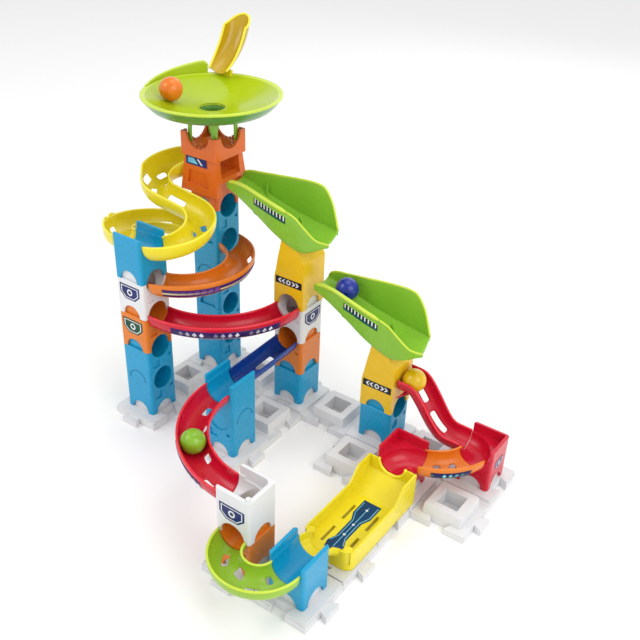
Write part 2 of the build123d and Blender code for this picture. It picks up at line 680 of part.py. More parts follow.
def director():
    """The flared block that sends a marble to the slide or to the first tipper."""
    at = place(BOWL_TOWER)
    foot = up(5)
    middle = Plane(origin=(at[0], at[1], 0), x_dir=(1, 0, 0), z_dir=(0, -1, 0))
    with BuildPart() as body:
        with BuildSketch(Plane.XY.offset(foot)):
            with Locations(at):
                RectangleRounded(TOWER, TOWER, CORNER_R)
        extrude(amount=SKIRT_Z - foot)
        with BuildSketch(Plane.XY.offset(SKIRT_Z)):
            with Locations(at):
                Rectangle(2 * SKIRT_HALF, 2 * SKIRT_HALF)
        with BuildSketch(Plane.XY.offset(DIRECTOR_TOP)):
            with Locations(at):
                Rectangle(2 * SKIRT_TOP_HALF, 2 * SKIRT_TOP_HALF)
        loft()
        hollow(at, foot, COLLAR_H + 2)
        for face in FACES:
            cut_foot_arch(at, face, foot, face in ("+x", "-x"))
        hollow(at, up(5.9), LEVEL, 2 * TRACK_R + 4)
        # the way through: over a ridge to either side
        with BuildSketch(middle):
            with BuildLine():
                Polyline((0, up(6.03)), (SKIRT_HALF + 4, up(5.86)), (SKIRT_HALF + 4, up(6.42)),
                         (-SKIRT_HALF - 4, up(6.36)), (-SKIRT_HALF - 4, up(5.56)), (0, up(6.03)))
            make_face()
        extrude(amount=TRACK_R + 1, both=True, mode=Mode.SUBTRACT)
        # room for the end of the first tray as it swings down
        with Locations((at[0] + HALF + FIT, at[1], up(5))):
            Box(20, 33, 0.78 * LEVEL, align=(Align.MIN, Align.CENTER, Align.MIN),
                mode=Mode.SUBTRACT)
        # sunk panel on the front
        with BuildSketch(middle.offset(SKIRT_HALF + 1)):
            with BuildLine():
                Polyline((-14, up(6.02)), (-16.5, up(5.68)), (13, up(5.62)), (9, up(6.0)),
                         (-14, up(6.02)))
            make_face()
        extrude(amount=-4.6, mode=Mode.SUBTRACT)
    body.part.label = "director"
    return body.part


# ---------------------------------------------------------------- tippers
PIVOT_RISE = 76.0       # pivot above the foot of its support
PIVOT_R = 2.0
PIVOT_PLAY = 0.08
TRAY_WALL = 1.8
# Stations of a tray from its narrow end to its lip, in millimetres from the pivot:
# place along X, half width, lower edge, near wall top, far wall top, floor underside.
TRAY_STATIONS = [
    (-86, 13.8, 32.5, 38.0, 39.5, 33.6),
    (-78, 14.2, 29.8, 41.0, 44.6, 31.2),
    (-62, 16.0, 23.6, 41.8, 46.0, 25.0),
    (-40, 18.2, 13.2, 38.0, 47.6, 17.0),
    (-18, 20.6, 2.4, 33.8, 49.0, 10.0),
    (6, 20.6, -7.2, 27.6, 50.2, 5.8),
    (18, 20.6, -7.4, 19.4, 48.6, 4.6),
    (30, 19.6, -2.6, 10.8, 33.0, 4.4),
    (38, 17.8, 2.0, 8.4, 19.0, 5.0),
    (45, 15.0, 4.6, 8.0, 9.2, 5.6),
]


def tray_slice(pivot, x, middle, width, low, high):
    """An upright rectangle across a tray, at one station."""
    across = Plane(origin=(pivot[0] + x, pivot[1], pivot[2]), x_dir=(0, 1, 0), z_dir=(1, 0, 0))
    with BuildSketch(across) as section:
        with Locations((middle, (low + high) / 2)):
            Rectangle(width, high - low)
    return section.sketch


def tipper_tray(label, tower, floor):
    """A leaf-shaped tray that rocks on the pivot of a tipper support."""
    at = place(tower)
    pivot = (at[0], at[1], up(floor) + PIVOT_RISE)
    upright = Plane(origin=pivot, x_dir=(1, 0, 0), z_dir=(0, -1, 0))
    with BuildPart() as tray:
        floor_slices = []
        near_slices = []
        far_slices = []
        for x, half, low, near_top, far_top, under in TRAY_STATIONS:
            edge = half - TRAY_WALL / 2
            floor_slices.append(tray_slice(pivot, x, 0, 2 * half - 1, under, under + 2))
            near_slices.append(tray_slice(pivot, x, -edge, TRAY_WALL, low, near_top))
            far_slices.append(tray_slice(pivot, x, edge, TRAY_WALL, low, far_top))
        loft(floor_slices, ruled=True)
        loft(near_slices, ruled=True)
        loft(far_slices, ruled=True)
        # weight box under the narrow half
        with BuildSketch(upright):
            with BuildLine():
                Polyline((-52, 22.5), (-52, 12.5), (-17.5, 1.6), (-17.5, 11.5), (-52, 22.5))
            make_face()
        extrude(amount=12, both=True)
        with BuildSketch(upright):
            Circle(PIVOT_R + PIVOT_PLAY)
        extrude(amount=30, both=True, mode=Mode.SUBTRACT)
    tray.part.label = label
    return tray.part


def tipper_support(label, tower, floor, port):
    """The wedge that carries a tray: legs below, a rounded knuckle on top."""
    at = place(tower)
    foot = up(floor)
    with BuildPart() as wedge:
        with BuildSketch(Plane(origin=(at[0], at[1], foot), x_dir=(1, 0, 0), z_dir=(0, -1, 0))):
            with BuildLine():
                Polyline((-HALF, 0), (-HALF, 31), (-16.6, 40), (-14.4, 53), (-10.5, 72))
                ThreePointArc((-10.5, 72), (-7.5, 78.5), (0, PIVOT_RISE + 4.2))
                ThreePointArc((0, PIVOT_RISE + 4.2), (3.8, 77.8), (6, 73.5))
                Polyline((6, 73.5), (HALF, 54), (HALF, 0), (-HALF, 0))
            make_face()
        extrude(amount=HALF, both=True)
        with BuildSketch(Plane.XY.offset(foot)):
            with Locations(at):
                Rectangle(INNER, INNER)
        extrude(amount=22, mode=Mode.SUBTRACT)
        for face in FACES:
            cut_foot_arch(at, face, foot, face == port)
        with BuildSketch(Plane(origin=(at[0], at[1], foot + PIVOT_RISE), x_dir=(1, 0, 0),
                               z_dir=(0, -1, 0))):
            Circle(PIVOT_R)
        extrude(amount=30, both=True, mode=Mode.SUBTRACT)
    wedge.part.label = label
    return wedge.part


def pivot_pin(label, tower, floor):
    """The pin that a tray rocks on, pressed into the support's knuckle."""
    at = place(tower)
    with BuildPart() as pin:
        with BuildSketch(Plane(origin=(at[0], at[1], up(floor) + PIVOT_RISE), x_dir=(1, 0, 0),
                               z_dir=(0, -1, 0))):
            Circle(PIVOT_R)
        extrude(amount=20.6, both=True)
    pin.part.label = label
    return pin.part


# ---------------------------------------------------------------- lane
LANE_HALF = 26.0
LANE_RIM = 22.0         # heights above the base plates
LANE_FLOOR = 7.0
LANE_NEAR_Y = -74.0     # end of the wide part, from the middle of cell (5, 0)
LANE_WALL = 2.0


def catch_lane():
    """The wide tray where marbles collect, with a ramp in and a channel out."""
    at = place((5, 0))
    far_y = PITCH - HALF - FIT
    out_y = -2 * PITCH + HALF + FIT
    channel_z = PLATE + TROUGH_FLOOR + TRACK_R - 0.6
    side = Plane(origin=(at[0], at[1], PLATE), x_dir=(0, 1, 0), z_dir=(1, 0, 0))
    with BuildPart() as lane:
        with BuildSketch(side):
            with BuildLine():
                Polyline((LANE_NEAR_Y, FIT), (far_y, FIT), (far_y, 36), (16, 36), (2, LANE_RIM),
                         (LANE_NEAR_Y, LANE_RIM), (LANE_NEAR_Y, FIT))
            make_face()
        extrude(amount=LANE_HALF, both=True)
        fillet(lane.edges().filter_by(Axis.Z).sort_by(Axis.Y)[:2], 9)
        with BuildSketch(side):
            with BuildLine():
                Polyline((LANE_NEAR_Y + LANE_WALL, LANE_FLOOR), (10, LANE_FLOOR), (far_y, 23.4),
                         (far_y + 1, 60), (LANE_NEAR_Y + LANE_WALL, 60),
                         (LANE_NEAR_Y + LANE_WALL, LANE_FLOOR))
            make_face()
        extrude(amount=LANE_HALF - LANE_WALL, both=True, mode=Mode.SUBTRACT)
        # corners of the wide part, closed off to guide marbles to the channel
        for way in (-1, 1):
            with BuildSketch(Plane.XY.offset(PLATE + LANE_FLOOR - 0.5)):
                with Locations((at[0] + way * 20, at[1] + LANE_NEAR_Y + 6)):
                    RectangleRounded(8, 8, 3.9)
            extrude(amount=LANE_RIM - LANE_FLOOR)
        stations = [((at[0], at[1] + out_y, channel_z), 90, 1, 1),
                    ((at[0], at[1] + out_y + 11, channel_z - 4), 90, 1, 1),
                    ((at[0], at[1] + LANE_NEAR_Y + 1, PLATE + LANE_FLOOR + 15.6), 90, 1, 1)]
        loft([track_section(*station) for station in stations], ruled=True)
        with BuildSketch(Plane(origin=(at[0], at[1] + LANE_NEAR_Y, PLATE + LANE_FLOOR + 15.6),
                               x_dir=(1, 0, 0), z_dir=(0, -1, 0))):
            Circle(TRACK_R)
            with Locations((0, TRACK_R)):
                Rectangle(2 * TRACK_R, 2 * TRACK_R)
        extrude(amount=3, both=True, mode=Mode.SUBTRACT)
        for dx in (-13, 13):
            for dy in (-16, -50):
                with Locations((at[0] + dx, at[1] + dy, PLATE)):
                    Box(3.0, 22, 20, mode=Mode.SUBTRACT)
    lane.part.label = "catch_lane"
    return lane.part


# ---------------------------------------------------------------- marbles
def marble(label, point):
    """A solid ball."""
    with BuildPart() as ball:
        with Locations(point):
            Sphere(MARBLE_R)
    ball.part.label = label
    return ball.part


# Where the marbles lie: in the bowl, on a bend, in a tray and on the wave slide.
BOWL_MARBLE = (-33.0, -23.6)
BEND_MARBLE_TURN = 228  # degrees round the second red bend
TRAY_MARBLE_X = -54.0
WAVE_MARBLE_X = 31.6


def marbles():
    """The four marbles, each just clear of what it lies on."""
    lift = MARBLE_R + MARBLE_GAP
    bowl_at = place(BOWL_TOWER, *BOWL_MARBLE)
    turn = radians(BEND_MARBLE_TURN)
    bend_r = 2 * PITCH - HALF
    bend_at = place((4, 0), -HALF + bend_r * cos(turn), -HALF + bend_r * sin(turn))
    tray_at = place(TIPPER_TOWER_2, TRAY_MARBLE_X, 0)
    wave_at = place(TIPPER_TOWER_2, WAVE_MARBLE_X, 0)
    floor_z = PLATE + 76.5 - TRACK_R
    return [
        marble("marble_orange", (*bowl_at, dish_z(hypot(*BOWL_MARBLE), lift))),
        marble("marble_green", (*bend_at, floor_z + lift)),
        marble("marble_blue", (*tray_at, up(1) + PIVOT_RISE + 24.2 + lift + 1.6)),
        marble("marble_yellow", (*wave_at, up(1) + 41.0 - TRACK_R + lift)),
    ]


# ---------------------------------------------------------------- assembly
PARTS = []

for plate_name, plate_cells in PLATES.items():
    PARTS.append(base_plate(plate_name, plate_cells))

PARTS += [
    tower_block("drop_tower_lower", DROP_TOWER, 0, 2, {1: ["+x"], 2: ["+x"]}),
    tower_block("drop_tower_orange", DROP_TOWER, 2, 1, {1: ["+x"]}, ["+x"]),
    tower_block("drop_tower_white", DROP_TOWER, 3, 1, {1: ["+x"]}, ["+x"], drain=True),
    tower_block("bowl_tower_lower", BOWL_TOWER, 0, 2, {1: ["+x"], 2: ["+x"]}),
    tower_block("bowl_tower_middle", BOWL_TOWER, 2, 2, {1: ["+x"], 2: ["+x", "-x"]}, ["+x"]),
    tower_block("bowl_tower_upper", BOWL_TOWER, 4, 1, {1: ["+x"]}, ["+x", "-x"]),
    tower_block("tipper_tower_1_blue", TIPPER_TOWER_1, 0, 1, {}),
    tower_block("tipper_tower_1_orange", TIPPER_TOWER_1, 1, 1, {1: ["-y"]}),
    tower_block("tipper_tower_1_white", TIPPER_TOWER_1, 2, 1, {1: ["-y"]}, ["-y"], drain=True),
    tower_block("tipper_tower_2_blue", TIPPER_TOWER_2, 0, 1, {1: ["+x"]}),
    tower_block("cup_tower_orange", CUP_TOWER, 0, 1, {1: ["-y"]}),
    trough_block("drop_tower_trough", DROP_TOWER, 4, 1, "+x"),
    bend_block("bend_tower", BEND_TOWER),
    trough_block("lane_trough", LANE_TROUGH, 0, 1, "-y"),
    corner_block("lane_corner", LANE_CORNER, 1),
    corner_block("slide_corner", SLIDE_CORNER, -1),
    cup_block("cup_tower_cup", CUP_TOWER, 1),
    director(),
    crown(),
    bowl(),
    entry_chute(),
    tipper_support("tipper_support_1", TIPPER_TOWER_1, 3, "-y"),
    tipper_support("tipper_support_2", TIPPER_TOWER_2, 1, "+x"),
    pivot_pin("pivot_pin_1", TIPPER_TOWER_1, 3),
    pivot_pin("pivot_pin_2", TIPPER_TOWER_2, 1),
    tipper_tray("tipper_tray_1", TIPPER_TOWER_1, 3),
    tipper_tray("tipper_tray_2", TIPPER_TOWER_2, 1),
    catch_lane(),
]
PARTS += TRACKS
PARTS += marbles()

os.makedirs("parts", exist_ok=True)
for piece in PARTS:
    export_step(piece, "parts/" + piece.label + ".step")
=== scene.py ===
"""The marble run's looks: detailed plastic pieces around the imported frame.

Lengths inside this script are millimetres in the row frame; meshes are written
in metres.  Heights above the base plates are given in levels of one block.
"""

from math import acos, asin, cos, pi, radians, sin, sqrt

import bpy
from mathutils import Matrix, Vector


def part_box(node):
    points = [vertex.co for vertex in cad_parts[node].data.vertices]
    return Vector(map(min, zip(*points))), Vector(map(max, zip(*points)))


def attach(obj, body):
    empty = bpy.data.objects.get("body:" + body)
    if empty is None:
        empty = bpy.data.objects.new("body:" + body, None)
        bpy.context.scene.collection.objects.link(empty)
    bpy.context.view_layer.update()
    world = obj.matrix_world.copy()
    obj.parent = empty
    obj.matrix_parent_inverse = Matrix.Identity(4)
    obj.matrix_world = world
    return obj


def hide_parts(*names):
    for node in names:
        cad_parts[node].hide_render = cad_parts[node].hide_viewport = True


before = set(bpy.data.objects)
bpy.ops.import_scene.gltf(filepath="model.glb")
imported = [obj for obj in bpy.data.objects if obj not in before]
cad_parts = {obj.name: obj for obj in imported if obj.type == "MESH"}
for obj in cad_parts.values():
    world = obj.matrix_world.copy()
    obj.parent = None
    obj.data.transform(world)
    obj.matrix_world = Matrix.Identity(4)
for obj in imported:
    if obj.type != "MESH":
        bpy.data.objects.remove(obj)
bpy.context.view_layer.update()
MM = 0.001
ROOT = "run"


# ---------------------------------------------------------------- the frame
def node_box(node):
    """Lowest and highest corner of a CAD node, in millimetres."""
    low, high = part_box(node)
    return low / MM, high / MM


def node_middle(node):
    """The middle of a CAD node's box, in millimetres."""
    low, high = node_box(node)
    return (low + high) / 2


DROP = node_middle("drop_tower_lower")
PLATE = node_box("drop_tower_lower")[0].z
LEVEL = (node_box("drop_tower_orange")[0].z - PLATE) / 2
TOWER = node_box("drop_tower_lower")[1].x - node_box("drop_tower_lower")[0].x
PITCH = (node_middle("bowl_tower_lower").y - DROP.y) / 2
HALF = TOWER / 2
GAP = 0.3               # play between a track's end and a tower
TRACK_R = 13.5          # inside of the channels
TRACK_WALL = 2.0
SHELL_R = TRACK_R + TRACK_WALL / 2
PIVOT_RISE = 76.0       # a tray's pivot above the foot of its support
TROUGH_AXIS = 37.5      # a trough's axis above the foot of its level


def up(levels):
    """The height of so many levels above the base plates."""
    return PLATE + levels * LEVEL


def place(i, j, dx=0.0, dy=0.0):
    """A point in plan: grid steps from the drop tower, plus an offset."""
    return (DROP.x + i * PITCH + dx, DROP.y + j * PITCH + dy)


# ---------------------------------------------------------------- materials
def new_nodes(name):
    """An empty material with its shader; returns material, nodes, links, shader."""
    material = bpy.data.materials.new(name)
    material.use_nodes = True
    nodes, links = material.node_tree.nodes, material.node_tree.links
    return material, nodes, links, nodes["Principled BSDF"]


def tone(colour, gain, lift=0.0):
    """A paler or darker version of a colour, with its alpha."""
    return (*[min(1.0, c * gain + lift) for c in colour], 1)


def noise(nodes, links, scale, detail=None, where=None):
    """A noise texture, in the piece's own coordinates where they are given."""
    node = nodes.new("ShaderNodeTexNoise")
    node.inputs["Scale"].default_value = scale
    if detail is not None:
        node.inputs["Detail"].default_value = detail
    if where is not None:
        links.new(where.outputs["Object"], node.inputs["Vector"])
    return node


def mapped(nodes, links, value, limits, out):
    """A value stretched from its limits to the range out."""
    node = nodes.new("ShaderNodeMapRange")
    node.inputs["From Min"].default_value, node.inputs["From Max"].default_value = limits
    node.inputs["To Min"].default_value, node.inputs["To Max"].default_value = out
    links.new(value, node.inputs["Value"])
    return node.outputs["Result"]


def two_tone(nodes, links, value, stops, colours):
    """A colour that runs from one tone to the other between two stops."""
    ramp = nodes.new("ShaderNodeValToRGB")
    for element, stop, colour in zip(ramp.color_ramp.elements, stops, colours):
        element.position = stop
        element.color = colour
    links.new(value, ramp.inputs["Fac"])
    return ramp.outputs["Color"]


def set_glow(shader, weight):
    """A little light that spreads below the surface."""
    shader.inputs["Subsurface Weight"].default_value = weight
    shader.inputs["Subsurface Radius"].default_value = (0.004, 0.003, 0.002)


def plastic(name, colour, roughness=0.27, coat=0.16, glow=0.05, grain=0.05, edge=0.5):
    """Moulded plastic: flow marks, satin patches, fine grain, edges eased by edge mm with a
    painted highlight.
    """
    material, nodes, links, shader = new_nodes(name)
    where = nodes.new("ShaderNodeTexCoord")
    flow = noise(nodes, links, 28, 3, where)
    marks = two_tone(nodes, links, flow.outputs["Fac"], (0.3, 0.75),
                     (tone(colour, 0.96), tone(colour, 1.03, 0.001)))
    # painted highlight on the edges: a little paler where the eased normal leaves the flat one
    eased = nodes.new("ShaderNodeBevel")
    eased.samples = 4
    eased.inputs["Radius"].default_value = edge * MM
    plain = nodes.new("ShaderNodeNewGeometry")
    turn = nodes.new("ShaderNodeVectorMath")
    turn.operation = "DOT_PRODUCT"
    links.new(eased.outputs["Normal"], turn.inputs[0])
    links.new(plain.outputs["Normal"], turn.inputs[1])
    painted_edge_highlight = mapped(nodes, links, turn.outputs["Value"], (0.97, 0.72), (0, 0.26))
    edge_highlight_tint = nodes.new("ShaderNodeMix")
    edge_highlight_tint.data_type = "RGBA"
    edge_highlight_tint.inputs["B"].default_value = tone(colour, 1.25, 0.09)
    links.new(painted_edge_highlight, edge_highlight_tint.inputs["Factor"])
    links.new(marks, edge_highlight_tint.inputs["A"])
    links.new(edge_highlight_tint.outputs["Result"], shader.inputs["Base Color"])
    patches = noise(nodes, links, 90, 4, where)
    satin = mapped(nodes, links, patches.outputs["Fac"], (0.3, 0.7),
                   (roughness - 0.05, roughness + 0.07))
    links.new(satin, shader.inputs["Roughness"])
    peel = noise(nodes, links, 700, 2, where)
    bump = nodes.new("ShaderNodeBump")
    bump.inputs["Strength"].default_value = grain
    bump.inputs["Distance"].default_value = 0.0006
    links.new(peel.outputs["Fac"], bump.inputs["Height"])
    links.new(eased.outputs["Normal"], bump.inputs["Normal"])
    links.new(bump.outputs["Normal"], shader.inputs["Normal"])
    shader.inputs["Coat Weight"].default_value = coat
    shader.inputs["Coat Roughness"].default_value = 0.12
    shader.inputs["IOR"].default_value = 1.5
    shader.inputs["Specular IOR Level"].default_value = 0.32
    set_glow(shader, glow)
    return material


def printed(name, pattern, base, mark, mark_2=None, period=9.0):
    """Printed film: a pattern, or a painted sheen, from the sheet's own U (mm along) and V (0 to 1
    across).
    """
    material, nodes, links, shader = new_nodes(name)
    uv = nodes.new("ShaderNodeUVMap")
    split = nodes.new("ShaderNodeSeparateXYZ")
    links.new(uv.outputs["UV"], split.inputs["Vector"])

    def math(kind, a, b=None):
        node = nodes.new("ShaderNodeMath")
        node.operation = kind
        for socket, value in zip(node.inputs, (a, b)):
            if value is None:
                continue
            if isinstance(value, (int, float)):
                socket.default_value = value
            else:
                links.new(value, socket)
        return node.outputs[0]

    def mix(factor, a, b):
        node = nodes.new("ShaderNodeMix")
        node.data_type = "RGBA"
        links.new(factor, node.inputs["Factor"])
        for socket, value in ((node.inputs["A"], a), (node.inputs["B"], b)):
            if isinstance(value, tuple):
                socket.default_value = (*value, 1)
            else:
                links.new(value, socket)
        return node.outputs["Result"]

    u, v = split.outputs["X"], split.outputs["Y"]
    cell = math("FRACT", math("DIVIDE", u, period))
    from_middle = math("ABSOLUTE", math("SUBTRACT", cell, 0.5))
    across = math("ABSOLUTE", math("SUBTRACT", v, 0.5))
    edge = math("GREATER_THAN", across, 0.44)
    if pattern == "diamonds":
        # rows of diamonds that brighten along each group of five
        shape = math("LESS_THAN", math("ADD", from_middle, across), 0.36)
        group = math("FRACT", math("DIVIDE", math("FLOOR", math("DIVIDE", u, period)), 5.0))
        level = math("MULTIPLY", shape, math("MULTIPLY", group, 1.25))
        colour = mix(level, base, mark)
        colour = mix(edge, colour, mark_2)
    elif pattern == "blocks":
        # square blocks that fade into a bright stripe along the band
        shape = math("LESS_THAN", math("MAXIMUM", from_middle, across), 0.34)
        fade = math("FRACT", math("DIVIDE", u, period * 9))
        colour = mix(math("MULTIPLY", shape, math("SUBTRACT", 1.0, fade)), base, mark_2)
        stripe = math("LESS_THAN", across, 0.12)
        colour = mix(math("MULTIPLY", stripe, fade), colour, mark)
    elif pattern == "bars":
        # short upright bars over a darker lower edge
        tall = math("GREATER_THAN", v, 0.36)
        shape = math("MULTIPLY", math("LESS_THAN", from_middle, 0.17), tall)
        low = math("LESS_THAN", v, 0.3)
        colour = mix(shape, base, mark)
        colour = mix(low, colour, mark_2)
    else:
        # painted sheen: the film runs paler from one end to the other
        colour = mix(math("FRACT", math("DIVIDE", u, period)), base, mark)
    links.new(colour, shader.inputs["Base Color"])
    wear = noise(nodes, links, 160)
    links.new(mapped(nodes, links, wear.outputs["Fac"], (0, 1), (0.25, 0.42)),
              shader.inputs["Roughness"])
    shader.inputs["Specular IOR Level"].default_value = 0.2
    shader.inputs["Coat Weight"].default_value = 0.1
    shader.inputs["Coat Roughness"].default_value = 0.15
    return material


def glassy_marble(name, colour):
    """A glossy ball with slow swirls of lighter and darker colour."""
    material, nodes, links, shader = new_nodes(name)
    swirl = noise(nodes, links, 45, where=nodes.new("ShaderNodeTexCoord"))
    swirl.inputs["Distortion"].default_value = 1.2
    links.new(two_tone(nodes, links, swirl.outputs["Fac"], (0.35, 0.7),
                       (tone(colour, 0.82), tone(colour, 1.12, 0.01))),
              shader.inputs["Base Color"])
    shader.inputs["Roughness"].default_value = 0.2
    shader.inputs["Specular IOR Level"].default_value = 0.3
    shader.inputs["Coat Weight"].default_value = 0.35
    shader.inputs["Coat Roughness"].default_value = 0.06
    set_glow(shader, 0.06)
    return material


WHITE = plastic("white_plastic", (0.74, 0.745, 0.76), 0.34, 0.1)
PLATE_WHITE = plastic("plate_plastic", (0.71, 0.715, 0.73), 0.4, 0.08, edge=0.9)
BLUE = plastic("blue_plastic", (0.003, 0.31, 0.565), coat=0.12)
ORANGE = plastic("orange_plastic", (0.71, 0.185, 0.011))
BURNT = plastic("burnt_orange_plastic", (0.70, 0.135, 0.012))
YELLOW = plastic("yellow_plastic", (0.80, 0.67, 0.014))
# a paler, glossier copy of the yellow: painted highlight for rims, beads and the bend's ear
YELLOW_PAINTED_HIGHLIGHT = plastic("yellow_painted_highlight_plastic", (0.88, 0.77, 0.04), 0.22, 0.3)
# the yellow darkened all over: painted shade for the entry chute
SHADE_DARKENED_YELLOW = plastic("shade_darkened_yellow_plastic", (0.54, 0.35, 0.006), 0.22, 0.3)
DEEP_YELLOW = plastic("deep_yellow_plastic", (0.80, 0.51, 0.008))
GREEN = plastic("green_plastic", (0.235, 0.50, 0.034))
# a darker green for the bowl's skirt and drain tube: the skirt's own greener tone, darkened as
# painted shade
SHADE_DARKENED_GREEN = plastic("shade_darkened_green_plastic", (0.09, 0.28, 0.04))
LIME = plastic("lime_plastic", (0.39, 0.53, 0.007), 0.2, 0.3)
# a paler copy of the lime: painted highlight for rims and beads
LIME_PAINTED_HIGHLIGHT = plastic("lime_painted_highlight_plastic", (0.54, 0.69, 0.05), 0.22, 0.3)
LEAF = plastic("leaf_plastic", (0.29, 0.50, 0.028))
RED = plastic("red_plastic", (0.57, 0.004, 0.027))
# a paler copy of the red: painted highlight for the rims
RED_PAINTED_HIGHLIGHT = plastic("red_painted_highlight_plastic", (0.72, 0.012, 0.035), 0.22, 0.3)
NAVY = plastic("navy_plastic", (0.005, 0.045, 0.28))
GREY = plastic("grey_plastic", (0.42, 0.42, 0.44))
FILM_NAVY = printed("film_navy", "sheen", (0.006, 0.012, 0.10), (0.010, 0.03, 0.20), period=60)
FILM_BLUE = printed("film_blue", "sheen", (0.003, 0.018, 0.07), (0.007, 0.085, 0.235), period=50)
FILM_BLACK = printed("film_black", "sheen", (0.004, 0.007, 0.014), (0.008, 0.014, 0.03), period=60)
FILM_GREEN = printed("film_green", "sheen", (0.0, 0.045, 0.025), (0.0, 0.07, 0.035), period=40)
FILM_WHITE = printed("film_white", "sheen", (0.78, 0.79, 0.8), (0.8, 0.8, 0.82), period=40)
FILM_CYAN = printed("film_cyan", "sheen", (0.02, 0.35, 0.6), (0.25, 0.6, 0.75), period=30)
FILM_DIAMONDS = printed("film_diamonds", "diamonds", (0.03, 0.008, 0.10), (0.85, 0.85, 0.92),
                        (0.05, 0.015, 0.17), 6.2)
FILM_BLOCKS = printed("film_blocks", "blocks", (0.04, 0.006, 0.11), (0.72, 0.70, 0.30),
                      (0.20, 0.06, 0.36), 5.5)
FILM_TEAL = printed("film_teal", "diamonds", (0.006, 0.012, 0.09), (0.25, 0.75, 0.75),
                    (0.006, 0.012, 0.09), 4.6)
FILM_BARS = printed("film_bars", "bars", (0.004, 0.022, 0.022), (0.78, 0.82, 0.80),
                    (0.0, 0.10, 0.09), 4.2)


# ---------------------------------------------------------------- mesh helpers
def finish_piece(obj, node=None, body=ROOT):
    """Attach a piece to the body it rides on, and hide the node it stands for."""
    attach(obj, body)
    if node:
        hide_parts(node)
    return obj


def mesh_object(name, points, faces, material, smooth=True):
    """A mesh object from points in millimetres."""
    mesh = bpy.data.meshes.new(name)
    mesh.from_pydata([Vector(p) * MM for p in points], [], faces)
    mesh.validate()
    if smooth:
        mesh.shade_smooth()
    mesh.materials.append(material)
    obj = bpy.data.objects.new(name, mesh)
    bpy.context.scene.collection.objects.link(obj)
    return obj


def dress(node, material):
    """Give a CAD node its finish and return its object."""
    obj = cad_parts[node]
    obj.data.materials.clear()
    obj.data.materials.append(material)
    return obj


def shell(name, rows, material, thickness, skip=(), levels=2):
    """A moulded sheet through rows of points, with holes where faces are skipped."""
    width = len(rows[0])
    points = [p for row in rows for p in row]
    faces = []
    for i in range(len(rows) - 1):
        for j in range(width - 1):
            if (i, j) not in skip:
                a = i * width + j
                faces.append((a, a + 1, a + width + 1, a + width))
    obj = mesh_object(name, points, faces, material)
    solid = obj.modifiers.new("thickness", "SOLIDIFY")
    solid.thickness = thickness * MM
    solid.offset = 0
    solid.use_even_offset = True
    rounding = obj.modifiers.new("rounding", "SUBSURF")
    rounding.levels = rounding.render_levels = levels
    return obj


def tube(name, points, radius, material, sides=12):
    """A round bead along a line of points, of one radius or one for each point."""
    verts = []
    count = len(points)
    vectors = [Vector(p) for p in points]
    for k, p in enumerate(vectors):
        ahead = vectors[min(k + 1, count - 1)] - vectors[max(k - 1, 0)]
        ahead.normalize()
        side = ahead.cross(Vector((0, 0, 1)))
        if side.length < 1e-4:
            side = Vector((1, 0, 0))
        side.normalize()
        top = side.cross(ahead)
        r = radius[k] if isinstance(radius, (list, tuple)) else radius
        for s in range(sides):
            a = 2 * pi * s / sides
            verts.append(p + side * (r * cos(a)) + top * (r * sin(a)))
    faces = []
    for k in range(count - 1):
        for s in range(sides):
            t = (s + 1) % sides
            faces.append((k * sides + s, k * sides + t,
                          (k + 1) * sides + t, (k + 1) * sides + s))
    faces.append(tuple(reversed(range(sides))))
    faces.append(tuple((count - 1) * sides + s for s in range(sides)))
    return mesh_object(name, verts, faces, material)


def patch(name, rows, material, lengths, thickness=0.25):
    """A thin printed sheet through rows of points; U is millimetres along, V across."""
    width = len(rows[0])
    obj = mesh_object(name, [p for row in rows for p in row], [
        (i * width + j, i * width + j + 1, (i + 1) * width + j + 1, (i + 1) * width + j)
        for i in range(len(rows) - 1) for j in range(width - 1)], material)
    layer = obj.data.uv_layers.new(name="along_across")
    for loop in obj.data.loops:
        i, j = divmod(loop.vertex_index, width)
        layer.data[loop.index].uv = (lengths[i], j / (width - 1))
    solid = obj.modifiers.new("film", "SOLIDIFY")
    solid.thickness = thickness * MM
    solid.offset = 0
    return obj


class Face:
    """A flat place on the object: points are given across, up and out from it."""

    def __init__(self, origin, right, top):
        self.origin = Vector(origin)
        self.right = Vector(right).normalized()
        self.top = Vector(top).normalized()
        self.out = self.right.cross(self.top)

    def at(self, x, y, out=0.0):
        return self.origin + self.right * x + self.top * y + self.out * out


def front(cx, cy, z, reach=HALF):
    """The -Y side of a tower."""
    return Face((cx, cy - reach, z), (1, 0, 0), (0, 0, 1))


def right_side(cx, cy, z, reach=HALF):
    """The +X side of a tower."""
    return Face((cx + reach, cy, z), (0, 1, 0), (0, 0, 1))


def plate_shape(name, face, outline, material, low=0.05, high=0.3):
    """A thin flat plate with the given outline, standing on a face."""
    count = len(outline)
    points = [face.at(x, y, low) for x, y in outline] + [face.at(x, y, high) for x, y in outline]
    faces = [tuple(reversed(range(count))), tuple(range(count, 2 * count))]
    faces += [(k, (k + 1) % count, count + (k + 1) % count, count + k) for k in range(count)]
    obj = mesh_object(name, points, faces, material, smooth=False)
    layer = obj.data.uv_layers.new(name="along_across")
    flat = [*outline, *outline]
    for loop in obj.data.loops:
        x, y = flat[loop.vertex_index]
        layer.data[loop.index].uv = (x + 20, y)
    return obj


def ring_shape(name, face, centre, outer, inner, material, low, high, sides=40):
    """A thin flat ring standing on a face."""
    points = []
    for z in (low, high):
        for r in (outer, inner):
            for k in range(sides):
                a = 2 * pi * k / sides
                points.append(face.at(centre[0] + r * cos(a), centre[1] + r * sin(a), z))
    faces = []
    for k in range(sides):
        n = (k + 1) % sides
        faces.append((2 * sides + k, 2 * sides + n, 3 * sides + n, 3 * sides + k))
        faces.append((k, n, 2 * sides + n, 2 * sides + k))
        faces.append((sides + n, sides + k, 3 * sides + k, 3 * sides + n))
        faces.append((n, k, sides + k, sides + n))
    return mesh_object(name, points, faces, material, smooth=False)


